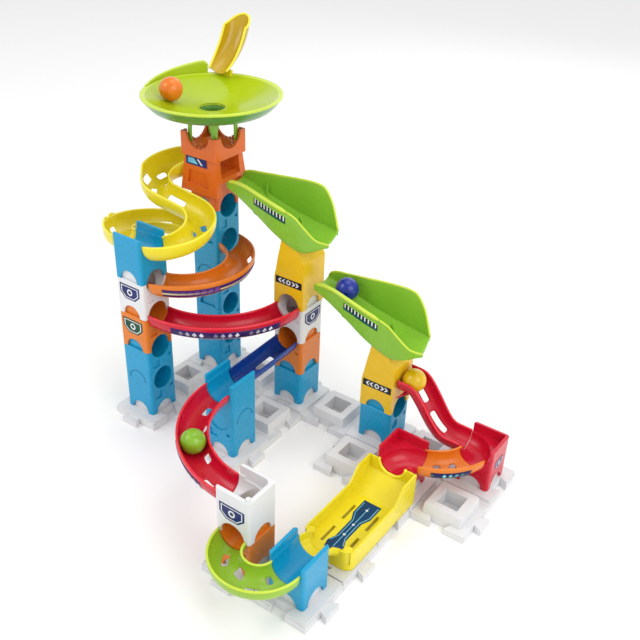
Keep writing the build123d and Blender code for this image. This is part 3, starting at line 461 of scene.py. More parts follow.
def catmull(stations, x):
    """Smooth values between rows whose first entry is the place x."""
    xs = [row[0] for row in stations]
    k = max(0, min(len(xs) - 2, sum(1 for v in xs if v <= x) - 1))
    rows = [stations[max(0, min(len(xs) - 1, k + d))] for d in (-1, 0, 1, 2)]
    span = xs[k + 1] - xs[k]
    t = (x - xs[k]) / span
    out = []
    for c in range(1, len(stations[0])):
        p0, p1, p2, p3 = [row[c] for row in rows]
        d0 = rows[2][0] - rows[0][0]
        d1 = rows[3][0] - rows[1][0]
        m1 = (p2 - p0) / d0 * span if d0 else 0
        m2 = (p3 - p1) / d1 * span if d1 else 0
        out.append((2 * t ** 3 - 3 * t ** 2 + 1) * p1 + (t ** 3 - 2 * t ** 2 + t) * m1
                   + (3 * t ** 2 - 2 * t ** 3) * p2 + (t ** 3 - t ** 2) * m2)
    return out


# ---------------------------------------------------------------- tracks
def arc_path(cx, cy, radius, start, sweep, z_start, z_end, step=3.0):
    """Places on an arc: each is a point and its heading in radians."""
    count = max(4, round(abs(radians(sweep)) * radius / step))
    turn = 1 if sweep > 0 else -1
    path = []
    for k in range(count + 1):
        a = radians(start + sweep * k / count)
        z = z_start + (z_end - z_start) * k / count
        path.append(((cx + radius * cos(a), cy + radius * sin(a), z), a + turn * pi / 2))
    return path


def path_lengths(path):
    """Distance run at each place of a path."""
    run = [0.0]
    for (a, _), (b, _) in zip(path, path[1:]):
        run.append(run[-1] + (Vector(b) - Vector(a)).length)
    return run


def section_frames(path):
    """For each place: point, the way to the right, and the way up across the path."""
    frames = []
    last = len(path) - 1
    for k, (point, heading) in enumerate(path):
        p = Vector(point)
        ahead = Vector(path[min(k + 1, last)][0]) - Vector(path[max(k - 1, 0)][0])
        right = Vector((sin(heading), -cos(heading), 0))
        fall = ahead - right * ahead.dot(right)
        fall.normalize()
        frames.append((p, right, right.cross(fall)))
    return frames


def channel_rows(path, rise_left, rise_right, radius=SHELL_R, arcs=16):
    """Rows of points across a U channel; rises are functions of the share run."""
    run = path_lengths(path)
    rows = []
    for (p, right, top), length in zip(section_frames(path), run):
        share = length / run[-1]
        left_top, right_top = rise_left(share), rise_right(share)
        row = []
        for part in (1.0, 0.5):
            if left_top > 0.8:
                row.append(p - right * radius + top * (left_top * part))
            else:
                row.append(p - right * radius * cos(0.05 * (1 - part))
                           + top * (left_top * part))
        for k in range(arcs + 1):
            a = pi * k / arcs
            row.append(p - right * (radius * cos(a)) - top * (radius * sin(a)))
        for part in (0.5, 1.0):
            row.append(p + right * radius + top * (right_top * part))
        rows.append(row)
    return rows


def slot_faces(rows, lengths, slots):
    """The faces to leave out for each slot: middle, length, first and last strip."""
    skip = set()
    for middle, length, low, high in slots:
        for i in range(len(rows) - 1):
            if abs((lengths[i] + lengths[i + 1]) / 2 - middle * lengths[-1]) < length / 2:
                for j in range(low, high):
                    skip.add((i, j))
    return skip


def flat(value):
    """The same wall rise all along."""
    return lambda share: value


def ramped(*pairs):
    """A wall rise given as (share, value) pairs."""
    def rise(share):
        for (a, u), (b, v) in zip(pairs, pairs[1:]):
            if share <= b:
                t = (share - a) / (b - a)
                return u + (v - u) * t * t * (3 - 2 * t)
        return pairs[-1][1]
    return rise


BEAD_SHARE = 0.62       # a rim bead's radius, as a share of the wall
BEAD_DROP, BEAD_INSET = 0.35, 0.25


def channel(name, node, path, left, right, material, slots=(), radius=SHELL_R,
            thickness=TRACK_WALL, rim=None):
    """A curved or straight U track with beaded rims, that stands for its CAD node.

    left and right are the walls' rises.  Each slot is its middle as a share of the
    length, its own length in mm, and the strips it opens, counted from the left.
    """
    rows = channel_rows(path, left, right, radius)
    skip = slot_faces(rows, path_lengths(path), slots)
    obj = shell(name, rows, material, thickness, skip)
    finish_piece(obj, node)
    bead = thickness * BEAD_SHARE
    for word, column in (("left", 0), ("right", -1)):
        edge = [Vector(row[column]) - Vector((0, 0, BEAD_DROP))
                + (Vector(row[-1 - column]) - Vector(row[column])).normalized() * BEAD_INSET
                for row in rows]
        radii = [bead * 0.8] + [bead] * (len(edge) - 2) + [bead * 0.8]
        # the rim beads take the rim material where one is given, a paler painted highlight
        finish_piece(tube("%s_%s_rim" % (name, word), edge, radii, rim or material, 10))
    return obj


def inset_ends(path, at_start, at_end):
    """The part of a path between two shares of its length."""
    run = path_lengths(path)
    return [p for p, r in zip(path, run) if at_start <= r / run[-1] <= at_end]


def side_band(name, path, side, shares, angles, material, radius=None):
    """A printed band on the outside of a channel, between two angles below the rim."""
    radius = radius or TRACK_R + TRACK_WALL + 0.15
    part = inset_ends(path, *shares)
    rows = []
    for p, right, top in section_frames(part):
        row = []
        for k in range(5):
            a = radians(angles[1] + (angles[0] - angles[1]) * k / 4)
            row.append(p + right * (side * radius * cos(a)) - top * (radius * sin(a)))
        rows.append(row)
    obj = patch(name, rows, material, path_lengths(part))
    return finish_piece(obj)


SIDE_SHIFT = 8          # the two big side bends stand this far out from the towers
SIDE_LEAN = 180 / pi * acos((HALF + GAP - SIDE_SHIFT) / PITCH)

orange_path = arc_path(*place(0, 1, SIDE_SHIFT), PITCH, SIDE_LEAN, -2 * SIDE_LEAN,
                       up(4.035), up(4.0))
channel("orange_bend_shell", "orange_bend", orange_path,
        ramped((0, 2), (0.2, 3), (0.8, 3), (1, 2)), flat(1), ORANGE,
        [(0.2, 11, 5, 7), (0.4, 16, 9, 11), (0.58, 9, 5, 7), (0.78, 12, 10, 12)])
side_band("orange_bend_band", orange_path, -1, (0.3, 0.93), (3, 38), FILM_BLOCKS)

big_r = 2 * PITCH - HALF
red_1_path = arc_path(*place(0, 2, HALF, -HALF), big_r, -89.8, 89.6, up(3.04), up(3.01))
channel("red_bend_1_shell", "red_bend_1", red_1_path, flat(1), flat(3), RED,
        [(0.27, 12, 10, 12), (0.52, 12, 7, 9), (0.78, 12, 10, 12)], rim=RED_PAINTED_HIGHLIGHT)
side_band("red_bend_1_band", red_1_path, 1, (0.15, 0.85), (3, 37), FILM_DIAMONDS)

red_2_path = arc_path(*place(4, 0, -HALF, -HALF), big_r, 180.2, 89.6, PLATE + 77, PLATE + 76)
channel("red_bend_2_shell", "red_bend_2", red_2_path, flat(1), flat(3), RED,
        [(0.12, 12, 9, 11), (0.32, 12, 5, 7), (0.66, 12, 5, 7), (0.84, 12, 10, 12)], rim=RED_PAINTED_HIGHLIGHT)
side_band("red_bend_2_band", red_2_path, 1, (0.5, 0.88), (3, 37), FILM_DIAMONDS)

green_path = arc_path(*place(4.5, -2, 0, -HALF - GAP), PITCH / 2, 180, 180,
                      PLATE + 41, PLATE + 38, 2.6)
channel("green_bend_shell", "green_bend", green_path, flat(2), flat(2.6), LEAF,
        [(0.17, 12, 9, 11), (0.42, 12, 5, 8), (0.66, 12, 9, 12), (0.87, 9, 6, 8)], rim=LIME_PAINTED_HIGHLIGHT)

QUARTER_SHIFT = 6       # the small quarter's centre, in from the corner of its cell
quarter_r = PITCH - QUARTER_SHIFT
quarter_lean = asin((HALF + GAP - QUARTER_SHIFT) / quarter_r) * 180 / pi
quarter_path = arc_path(*place(5, 2, QUARTER_SHIFT, -QUARTER_SHIFT), quarter_r, -quarter_lean,
                        -90 + 2 * quarter_lean, PLATE + 37.8, PLATE + 37.5, 2.6)
channel("orange_quarter_shell", "orange_quarter", quarter_path, ramped((0, 2), (0.5, 3), (1, 2)),
        flat(1), ORANGE,
        [(0.35, 9, 11, 13), (0.7, 8, 11, 13)])
side_band("orange_quarter_band", quarter_path, -1, (0.2, 0.85), (4, 36), FILM_TEAL)

YELLOW_TOP, YELLOW_FOOT = 4.93, 4.06
yellow_path = arc_path(*place(0, 1, -SIDE_SHIFT), PITCH, -180 + SIDE_LEAN, -2 * SIDE_LEAN,
                       up(YELLOW_TOP), up(YELLOW_FOOT))
channel("yellow_bend_shell", "yellow_bend", yellow_path,
        ramped((0, 4), (0.2, 7), (0.8, 6), (1, 3)), flat(1.5), YELLOW,
        [(0.08, 12, 5, 7), (0.2, 14, 9, 11), (0.36, 10, 4, 6), (0.55, 14, 9, 11),
         (0.75, 12, 5, 7)], rim=YELLOW_PAINTED_HIGHLIGHT)

# a scalloped ear of three lobes on the bend's outer wall, one row for each degree
EAR_START, EAR_SWEEP, EAR_LOBES, EAR_LIFT = 194, 42, 3, 4.6
YELLOW_START, YELLOW_SWEEP = 259.2, 158.4
ear_rows = []
for k in range(EAR_SWEEP + 1):
    a = radians(EAR_START + k)
    share = (YELLOW_START - EAR_START - k) / YELLOW_SWEEP
    lift = EAR_LIFT * abs(sin(EAR_LOBES * pi * k / EAR_SWEEP)) ** 0.5
    foot = Vector((*place(0, 1, -SIDE_SHIFT), up(YELLOW_TOP - 0.87 * share) + 5.6))
    foot += Vector((cos(a), sin(a), 0)) * (PITCH + SHELL_R - 0.1)
    ear_rows.append([foot + Vector((0, 0, (lift + 0.4) * v)) for v in (0, 0.4, 0.8, 1)])
# the ear is in the paler yellow, a painted highlight
finish_piece(shell("yellow_bend_ear", ear_rows, YELLOW_PAINTED_HIGHLIGHT, 1.7))

# the S: an arc round to the left, a straight between the towers and an arc to the right
turn_r = PITCH / 2
s_path = arc_path(*place(0, 1.5, -HALF, 0), turn_r, 104, 166, up(6.03), up(5.62), 2.8)
STRAIGHT_STEPS = 13
for k in range(1, STRAIGHT_STEPS):
    x, y = place(0, 1, -HALF + 2 * HALF * k / STRAIGHT_STEPS)
    s_path.append(((x, y, up(5.62 - 0.12 * k / STRAIGHT_STEPS)), 0.0))
s_path += arc_path(*place(0, 0.5, HALF, 0), turn_r, 90, -180, up(5.5), up(4.97), 2.8)
channel("s_slide_shell", "s_slide", s_path, ramped((0, 4), (0.3, 4), (1, 3)),
        ramped((0, 11), (0.12, 11.5), (0.24, 12), (0.262, 5), (0.34, 4), (1, 3)),
        YELLOW,
        [(0.165, 9, 12, 14), (0.235, 7, 14, 17), (0.1, 12, 9, 11), (0.21, 12, 6, 8),
         (0.28, 11, 10, 12), (0.43, 24, 5, 7), (0.57, 8, 11, 13), (0.67, 8, 8, 10),
         (0.72, 8, 12, 14), (0.8, 8, 9, 11)], rim=YELLOW_PAINTED_HIGHLIGHT)

# the straight blue slide, which falls slightly and runs towards -Y
BLUE_STEPS, BLUE_FALL = 28, 2.9
BLUE_R, BLUE_WALL, BLUE_RIB_R = 13.05, 1.5, 12.15
blue_low, blue_high = node_box("blue_slide")
blue_x = node_middle("blue_slide").x
blue_path = []
for k in range(BLUE_STEPS + 1):
    share = k / BLUE_STEPS
    blue_path.append(((blue_x, blue_high.y - 0.6 + (blue_low.y - blue_high.y + 0.9) * share,
                       up(2) + 0.7 - BLUE_FALL * share), -pi / 2))
channel("blue_slide_shell", "blue_slide", blue_path, flat(0.8), flat(0.8), NAVY,
        [(0.45, 26, 10, 12)], BLUE_R, BLUE_WALL)

# two guide ribs along its floor, at these angles from its lowest line
for word, lean_to in (("left", -38), ("right", 42)):
    spot = Vector((sin(radians(-lean_to)), 0, -cos(radians(lean_to)))) * BLUE_RIB_R
    line = [Vector(p) + spot for p, _ in blue_path]
    finish_piece(tube("blue_slide_%s_rib" % word, line, 0.5, NAVY, 8))

# the red wave slide: level, a smooth fall, and level again at the corner block
WAVE_STEPS, WAVE_TOP_RUN, WAVE_FOOT_RUN = 33, 12, 16
tipper_2 = place(4, 2)
wave_x0 = tipper_2[0] + HALF + 1.6
wave_x1 = place(6, 2, -HALF - GAP)[0]
wave_high, wave_low = up(1) + 41, PLATE + TROUGH_AXIS + 0.5
wave_run = wave_x1 - wave_x0 - (WAVE_TOP_RUN + WAVE_FOOT_RUN)
wave_path = []
for k in range(WAVE_STEPS + 1):
    x = wave_x0 + (wave_x1 - wave_x0) * k / WAVE_STEPS
    share = min(1.0, max(0.0, (x - wave_x0 - WAVE_TOP_RUN) / wave_run))
    wave_path.append(((x, tipper_2[1], wave_high + (wave_low - wave_high)
                       * (3 - 2 * share) * share ** 2), 0.0))
channel("wave_slide_shell", "wave_slide", wave_path, ramped((0, 5), (0.4, 3), (1, 0.8)),
        ramped((0, 1), (1, 0.6)), RED,
        [(0.33, 20, 6, 8), (0.68, 20, 6, 8)], rim=RED_PAINTED_HIGHLIGHT)


# ---------------------------------------------------------------- bowl and chute
BOWL = place(0, 2)
DISH_R = 153.8          # the ball that the dish is part of
BORE_R = 13.0           # the drain
BOWL_R = (node_box("bowl")[1].x - node_box("bowl")[0].x) / 2
DISH_EDGE_R = 68.6      # where the dish meets the rim
HIGHLIGHT_BAND_FROM_R = 66         # the painted highlight band on the rim starts here
DRAIN_Z = up(7.56)
DISH_CENTRE_Z = DRAIN_Z + sqrt(DISH_R ** 2 - BORE_R ** 2)
RIM_Z = DISH_CENTRE_Z - sqrt(DISH_R ** 2 - DISH_EDGE_R ** 2)


def dish_z(radius, offset=0.0):
    """Height of the dish at a distance from its middle; offset is inwards."""
    return DISH_CENTRE_Z - sqrt((DISH_R - offset) ** 2 - radius ** 2)


def lathe(name, profile, material, sides=144):
    """A closed profile of (radius, height) turned about the bowl's axis."""
    points = []
    for k in range(sides):
        a = 2 * pi * k / sides
        points += [(BOWL[0] + r * cos(a), BOWL[1] + r * sin(a), z) for r, z in profile]
    n = len(profile)
    faces = []
    for k in range(sides):
        m = (k + 1) % sides
        for j in range(n):
            i = (j + 1) % n
            faces.append((k * n + j, m * n + j, m * n + i, k * n + i))
    return mesh_object(name, points, faces, material)


# the dish's section: the bore, the inside, the rim, the skirt and the underside
dish_profile = [(BORE_R + 0.1, DRAIN_Z - 1.9), (BORE_R + 0.1, DRAIN_Z - 0.3),
                (BORE_R + 1.6, DRAIN_Z + 0.35)]
dish_profile += [(r, dish_z(r)) for r in (17, 22, 28, 34, 40, 46, 52, 58, 63, 66.5)]
dish_profile += [(68.2, RIM_Z - 0.5), (69.2, RIM_Z - 0.05), (70.9, RIM_Z - 0.05),
                 (BOWL_R - 0.05, RIM_Z - 0.8), (BOWL_R - 0.1, RIM_Z - 2.0)]
skirt_from = len(dish_profile)
dish_profile += [(BOWL_R - 1.0, RIM_Z - 2.7), (69.2, RIM_Z - 4.6), (67.2, RIM_Z - 7.2),
                 (64.6, RIM_Z - 10.0), (61.6, RIM_Z - 12.9), (60.0, RIM_Z - 13.9),
                 (58.6, RIM_Z - 13.6), (58.4, RIM_Z - 12)]
dish_profile += [(r, dish_z(r, -2.2)) for r in (58.3, 52, 44, 36, 28, 20)]
bowl_dish = lathe("bowl_dish", dish_profile, LIME)
bowl_dish.data.materials.append(SHADE_DARKENED_GREEN)
bowl_dish.data.materials.append(LIME_PAINTED_HIGHLIGHT)
# the skirt and underside get the darker green, partly painted shade; the inside beyond the band's
# radius gets the paler lime, a painted highlight
for polygon in bowl_dish.data.polygons:
    strip = polygon.index % len(dish_profile)
    if strip >= skirt_from:
        polygon.material_index = 1
    elif dish_profile[strip][0] > HIGHLIGHT_BAND_FROM_R:
        polygon.material_index = 2
finish_piece(bowl_dish, "bowl")
drain = [(BORE_R + 0.2, DRAIN_Z - 0.2), (BORE_R + 1.5, DRAIN_Z - 0.2),
         (BORE_R + 1.8, DRAIN_Z - 8.5), (BORE_R + 0.4, DRAIN_Z - 8.5)]
# the drain tube is in the darker green, painted shade inside the bore
finish_piece(lathe("bowl_drain_tube", drain, SHADE_DARKENED_GREEN, 72))
drain_lip = [(BORE_R + 0.1, DRAIN_Z + 0.1), (BORE_R + 0.5, DRAIN_Z + 0.85),
             (BORE_R + 1.5, DRAIN_Z + 0.9), (BORE_R + 2.3, DRAIN_Z + 0.2)]
finish_piece(lathe("bowl_drain_lip", drain_lip, LIME, 72))
RIM_BEAD_R = 1.1
rim_bead = [(70.4 + RIM_BEAD_R * cos(pi * k / 5), RIM_Z - 1.15 + RIM_BEAD_R * sin(pi * k / 5))
            for k in range(10)]
# the bead is in the paler lime, a painted highlight
finish_piece(lathe("bowl_rim_bead", rim_bead, LIME_PAINTED_HIGHLIGHT))

# the raised wall that comes down to the rim along part of the dish's edge
RAMP_STEPS, RAMP_START, RAMP_SWEEP, RAMP_RISE, RAMP_R = 37, 134.5, 69, 12.4, 69.9
ramp_rows = []
for k in range(RAMP_STEPS + 1):
    share = k / RAMP_STEPS
    a = radians(RAMP_START + RAMP_SWEEP * share)
    rise = RAMP_RISE * (1 - share) + 0.4
    rise -= 5.5 * max(0.0, 1 - k / 2.5) ** 2
    out = Vector((cos(a), sin(a), 0))
    ramp_rows.append([Vector((*BOWL, RIM_Z - 0.8)) + out * RAMP_R
                      + Vector((0, 0, (rise + 0.6) * v)) for v in (0, 0.35, 0.7, 1)])
finish_piece(shell("bowl_ramp", ramp_rows, LIME, 2.3))
# the ramp's rim bead is in the paler lime, a painted highlight
finish_piece(tube("bowl_ramp_rim", [row[-1] for row in ramp_rows], 1.25, LIME_PAINTED_HIGHLIGHT, 10))

# the neck: four corner legs with round arches between them
LEG_IN, ARCH_R, LEG_STEPS = 1.1, 13.0, 6
neck_foot = up(6.4) + 10 + GAP
for sx in (-1, 1):
    for sy in (-1, 1):
        x, y = BOWL[0] + sx * (HALF - LEG_IN), BOWL[1] + sy * (HALF - LEG_IN)
        leg_rows = []
        for k in range(LEG_STEPS + 1):
            z = neck_foot + (DRAIN_Z - 2.6 - neck_foot) * k / LEG_STEPS
            arch = max(0.0, z - up(7.08))
            reach = sqrt(max(0.0, ARCH_R ** 2 - arch ** 2)) if arch < ARCH_R else 0.4
            tip = max(0.5, HALF - LEG_IN - reach)
            leg_rows.append([(x - sx * tip, y, z), (x - sx * tip * 0.4, y, z), (x, y, z),
                             (x, y - sy * tip * 0.4, z), (x, y - sy * tip, z)])
        leg = shell("bowl_leg_%s%s" % ("ab"[sx > 0], "ab"[sy > 0]), leg_rows, GREEN, 2.2)
        finish_piece(leg)

# the entry chute: a U channel bent upwards about a level line, with a round top end
CHUTE_X, CHUTE_Y, CHUTE_BEND, CHUTE_HALF = -34.0, 56.0, 67.0, 15.5
foot_turn, top_turn, foot_wall_turn = radians(25), radians(84), radians(36)
bend = Vector((BOWL[0] + CHUTE_X, BOWL[1] + CHUTE_Y - CHUTE_BEND * sin(foot_turn),
               up(8.05) + CHUTE_BEND * cos(foot_turn)))
columns, chute_steps, chute_r = 20, 26, TRACK_R + 0.8
chute_rows = [[] for _ in range(chute_steps + 1)]
lip_turn = foot_turn - radians(5)
for j in range(columns + 1):
    a = pi * j / columns
    x = -chute_r * cos(a)
    deep = CHUTE_BEND - TRACK_R + chute_r * sin(a)
    fall = CHUTE_BEND * cos(top_turn) + 2.2 + CHUTE_HALF - sqrt(CHUTE_HALF ** 2 - x ** 2)
    end_turn = acos(fall / deep)
    for k in range(chute_steps + 1):
        turn = lip_turn + (end_turn - lip_turn) * k / chute_steps
        # the walls rise from low at the foot to full height at the top
        low = foot_wall_turn * (1 - k / chute_steps) ** 2.2
        b = low + (pi - 2 * low) * j / columns
        deep = CHUTE_BEND - TRACK_R + chute_r * sin(b)
        chute_rows[k].append(bend + Vector((-chute_r * cos(b), deep * sin(turn),
                                            -deep * cos(turn))))
# the chute is in the darkened yellow, painted shade
chute = shell("entry_chute_shell", chute_rows, SHADE_DARKENED_YELLOW, 1.6)
finish_piece(chute, "entry_chute")
chute_edge = [row[0] for row in chute_rows] + chute_rows[-1][1:-1]
chute_edge = [p - Vector((0, 0.5, 1.0)) for p in
              chute_edge + [row[-1] for row in chute_rows[::-1]]]
# its rim bead is in the paler yellow, a painted highlight
finish_piece(tube("entry_chute_rim", chute_edge, 1.25, YELLOW_PAINTED_HIGHLIGHT, 10))
chute_foot = Vector(chute_rows[2][columns // 2]) + Vector((0, 3.0, 0))
clip = plate_shape("entry_chute_clip", Face(chute_foot, (1, 0, 0), (0, 0, 1)),
                   [(-9, -5.5), (9, -5.5), (10, 1.5), (-10, 1.5)], YELLOW, -2.0, 2.0)
finish_piece(clip)


# ---------------------------------------------------------------- tippers
# along the tray from its pivot: half width, and heights above the pivot of the
# walls' foot, the near wall's top, the far wall's top and the floor
TRAY_STATIONS = [
    (-86, 13.8, 32.5, 38.0, 39.5, 33.6),
    (-78, 14.2, 29.8, 41.0, 44.6, 31.2),
    (-62, 16.0, 23.6, 41.8, 46.0, 25.0),
    (-40, 18.2, 13.2, 38.0, 47.6, 17.0),
    (-18, 20.6, 2.4, 33.8, 49.0, 10.0),
    (6, 20.6, -7.2, 27.6, 50.2, 5.8),
    (18, 20.6, -7.4, 19.4, 47.2, 4.6),
    (30, 19.6, -2.6, 10.8, 35.0, 4.4),
    (38, 17.8, 2.0, 8.4, 21.0, 5.0),
    (45, 15.0, 4.6, 8.0, 9.2, 5.6),
]


TRAY_BACK, TRAY_LONG, TRAY_STEPS = -85.6, 130.2, 46
TRAY_LIP = 29           # the row where the near wall's lip begins
LABEL_BACK, LABEL_LONG, LABEL_STEPS = -46, 42, 14


def round_over(obj, width, segments):
    """Round a solid's edges by a width in millimetres."""
    bevel = obj.modifiers.new("round_over", "BEVEL")
    bevel.width = width * MM
    bevel.segments = segments
    return obj


def tray(name, node, body, tower, floor):
    """The rocking tray: two curved walls, a dished floor, a rolled rim and ribs."""
    cx, cy = tower
    pz = up(floor) + PIVOT_RISE
    near, far, base = [], [], []

    def skew(x, v):
        """The far side of the mouth stops short of the near side."""
        return -9.0 * (max(0.0, x) / 45) ** 1.3 * (1 + v) / 2

    for k in range(TRAY_STEPS + 1):
        x = TRAY_BACK + TRAY_LONG * k / TRAY_STEPS
        half, low, near_top, far_top, under = catmull(TRAY_STATIONS, x)
        side = half - 0.9
        near.append([(cx + x, cy - side, pz + low + (near_top - low) * v)
                     for v in (0, 0.25, 0.5, 0.75, 1)])
        far.append([(cx + x + skew(x, 1), cy + side, pz + low + (far_top - low) * v)
                    for v in (0, 0.2, 0.4, 0.6, 0.8, 1)])
        base.append([(cx + x + skew(x, v), cy + side * v, pz + under + 1 + 3.2 * abs(v) ** 4)
                     for v in (-0.99, -0.8, -0.6, -0.3, 0, 0.3, 0.6, 0.8, 0.99)])
    walls = shell(name + "_near_wall", near, GREEN, 1.8)
    finish_piece(walls, node, body)
    finish_piece(shell(name + "_far_wall", far, GREEN, 1.8), body=body)
    finish_piece(shell(name + "_floor", base, GREEN, 1.8), body=body)
    # a thick rolled rim on the near wall, which thins at the lip; all three rims are in the paler
    # lime, a painted highlight
    rim = [(row[-1][0], row[-1][1], row[-1][2] - 0.6) for row in near[1:TRAY_LIP + 1]]
    radii = [1.0] + [2.1] * (len(rim) - 3) + [1.6, 1.1]
    finish_piece(tube(name + "_near_rim", rim, radii, LIME_PAINTED_HIGHLIGHT), body=body)
    rim = [(row[-1][0], row[-1][1], row[-1][2] - 0.3) for row in near[TRAY_LIP:]]
    finish_piece(tube(name + "_lip_rim", rim, 1.05, LIME_PAINTED_HIGHLIGHT), body=body)
    rim = [(row[-1][0], row[-1][1], row[-1][2] - 0.3) for row in far[1:]]
    finish_piece(tube(name + "_far_rim", rim, 1.15, LIME_PAINTED_HIGHLIGHT), body=body)
    # weight box below the narrow half
    keel = plate_shape(name + "_weight_box", Face((cx, cy, pz), (1, 0, 0), (0, 0, 1)),
                       [(-52, 22.0), (-52, 12.5), (-17.5, 1.8), (-17.5, 11.0)],
                       GREEN, -12, 12)
    finish_piece(round_over(keel, 1.2, 3), body=body)
    # ribs that guide the marble
    for k, (x, y, long, tall) in enumerate(((-52, 0.72, 7, 15), (5, -0.36, 13, 18.5))):
        half, *_, under = catmull(TRAY_STATIONS, x)
        foot = under + 2.2
        rib = plate_shape("%s_rib_%d" % (name, k + 1),
                          Face((cx + x, cy + half * y, pz + foot), (1, 0, 0), (0, 0, 1)),
                          [(-long / 2, -0.6), (long / 2, -1.6), (long / 2 - 3, tall * 0.4),
                           (0, tall)], GREEN, -0.9, 0.9)
        finish_piece(round_over(rib, 0.4, 2), body=body)
    # printed label on the near wall
    rows, lengths = [], []
    for k in range(LABEL_STEPS + 1):
        x = LABEL_BACK + LABEL_LONG * k / LABEL_STEPS
        half, _, near_top, _, _ = catmull(TRAY_STATIONS, x)
        rows.append([(cx + x, cy - half - 0.12, pz + near_top - 13.0 + 7.0 * v)
                     for v in (0, 0.25, 0.5, 0.75, 1)])
        lengths.append(LABEL_LONG * k / LABEL_STEPS)
    finish_piece(patch(name + "_label", rows, FILM_BARS, lengths), body=body)


tray("upper_tray", "tipper_tray_1", "upper_tipper", place(2, 2), 3)
tray("lower_tray", "tipper_tray_2", "lower_tipper", place(4, 2), 1)


# ---------------------------------------------------------------- blocks from the frame
BLOCKS = (
    (BLUE, "drop_tower_lower", "drop_tower_trough", "bowl_tower_lower", "bowl_tower_middle",
     "bowl_tower_upper", "bend_tower", "tipper_tower_1_blue", "tipper_tower_2_blue",
     "lane_trough"),
    (ORANGE, "drop_tower_orange", "tipper_tower_1_orange", "cup_tower_orange"),
    (WHITE, "drop_tower_white", "tipper_tower_1_white", "cup_tower_cup"),
    (BURNT, "director", "crown"),
    (DEEP_YELLOW, "tipper_support_1", "tipper_support_2"),
    (YELLOW, "catch_lane"),
    (RED, "lane_corner", "slide_corner"),
    (PLATE_WHITE, *("base_plate_%d" % k for k in range(1, 10))),
    (GREY, "pivot_pin_1", "pivot_pin_2"),
)
for material, *names in BLOCKS:
    for node in names:
        dress(node, material)
MARBLE_COLOURS = {"orange": (0.76, 0.18, 0.006), "green": (0.22, 0.45, 0.016),
                  "blue": (0.004, 0.022, 0.27), "yellow": (0.78, 0.50, 0.006)}
for word, colour in MARBLE_COLOURS.items():
    ball = dress("marble_" + word, glassy_marble(word + "_marble", colour))
    ball.data.shade_smooth()


# ---------------------------------------------------------------- printed stickers
def shield(name, face, film, size=1.0):
    """A shield with a white outline and a ring."""
    outline = [(-13.5, 8), (13.5, 8), (13.5, -2), (6.5, -8.5), (-6.5, -8.5), (-13.5, -2)]
    outline = [(x * size, y * size) for x, y in outline]
    finish_piece(plate_shape(name, face, outline, film, 0.05, 0.25))
    count = len(outline)
    points = [face.at(x * 0.86, y * 0.82, 0.32) for x, y in outline]
    points += [face.at(x * 0.78, y * 0.72, 0.32) for x, y in outline]
    faces = [(k, (k + 1) % count, count + (k + 1) % count, count + k) for k in range(count)]
    line = mesh_object(name + "_line", points, faces, FILM_WHITE, smooth=False)
    line.modifiers.new("film", "SOLIDIFY").thickness = 0.1 * MM
    finish_piece(line)
    ring = ring_shape(name + "_ring", face, (0, 0), 3.6 * size, 2.1 * size, FILM_WHITE,
                      0.25, 0.38)
    finish_piece(ring)


def chevron(name, face, x, way):
    """A white arrow-shaped stroke that points along way."""
    outline = [(x, 0), (x + way * 2.6, 2.4), (x + way * 4.6, 2.4), (x + way * 2.2, 0),
               (x + way * 4.6, -2.4), (x + way * 2.6, -2.4)]
    if way < 0:
        outline = outline[::-1]
    finish_piece(plate_shape(name, face, outline, FILM_WHITE, 0.2, 0.36))


def arrow_band(name, face):
    """A dark band with arrows that point away from a ring."""
    outline = [(-16.5, 4), (16.5, 4), (16.5, -4), (-16.5, -4)]
    finish_piece(plate_shape(name, face, outline, FILM_BLACK, 0.05, 0.22))
    finish_piece(ring_shape(name + "_ring", face, (0, 0), 2.8, 1.5, FILM_WHITE, 0.2, 0.36))
    for k, x in enumerate((-13.2, -8.6)):
        chevron("%s_left_%d" % (name, k), face, x, 1)
        chevron("%s_right_%d" % (name, k), face, -x, -1)


shield("drop_tower_white_shield", front(*place(0, 0), up(3) + 27), FILM_NAVY)
shield("drop_tower_orange_shield", front(*place(0, 0), up(2) + 27), FILM_GREEN)
shield("tipper_tower_white_shield", right_side(*place(2, 2), up(2) + 27), FILM_NAVY)
shield("cup_tower_shield", front(*place(4, -2), up(1) + 27), FILM_NAVY)
shield("slide_corner_shield", right_side(*place(6, 2), up(0) + 26), FILM_NAVY, 0.62)

# the director's panel leans with its flared wall: how far out that wall is there
panel_reach = HALF + 6.3 - 3.8 * (6.24 - 5.45) / 0.95
panel = Face((BOWL[0] - 5.5, BOWL[1] - panel_reach - 0.25, up(6.08) + 7.4),
             (1, 0, 0), (0, 0.1, 1))
for word, outline, film, low, high in (
        ("", [(-13, 4.6), (14, 4.6), (15.5, -4.0), (-12.5, -4.0)], FILM_NAVY, 0.0, 0.5),
        ("_wedge", [(-10, 3.0), (-2, 3.0), (4, -2.4), (-10, -2.4)], FILM_CYAN, 0.45, 0.62),
        ("_stripe", [(2, 3.0), (4.4, 3.0), (10.4, -2.4), (8, -2.4)], FILM_WHITE, 0.45, 0.62)):
    finish_piece(plate_shape("director_panel" + word, panel, outline, film, low, high))
arrow_band("support_1_band", front(*place(2, 2), up(3) + 28.6))
arrow_band("support_2_band", front(*place(4, 2), up(1) + 28.6))


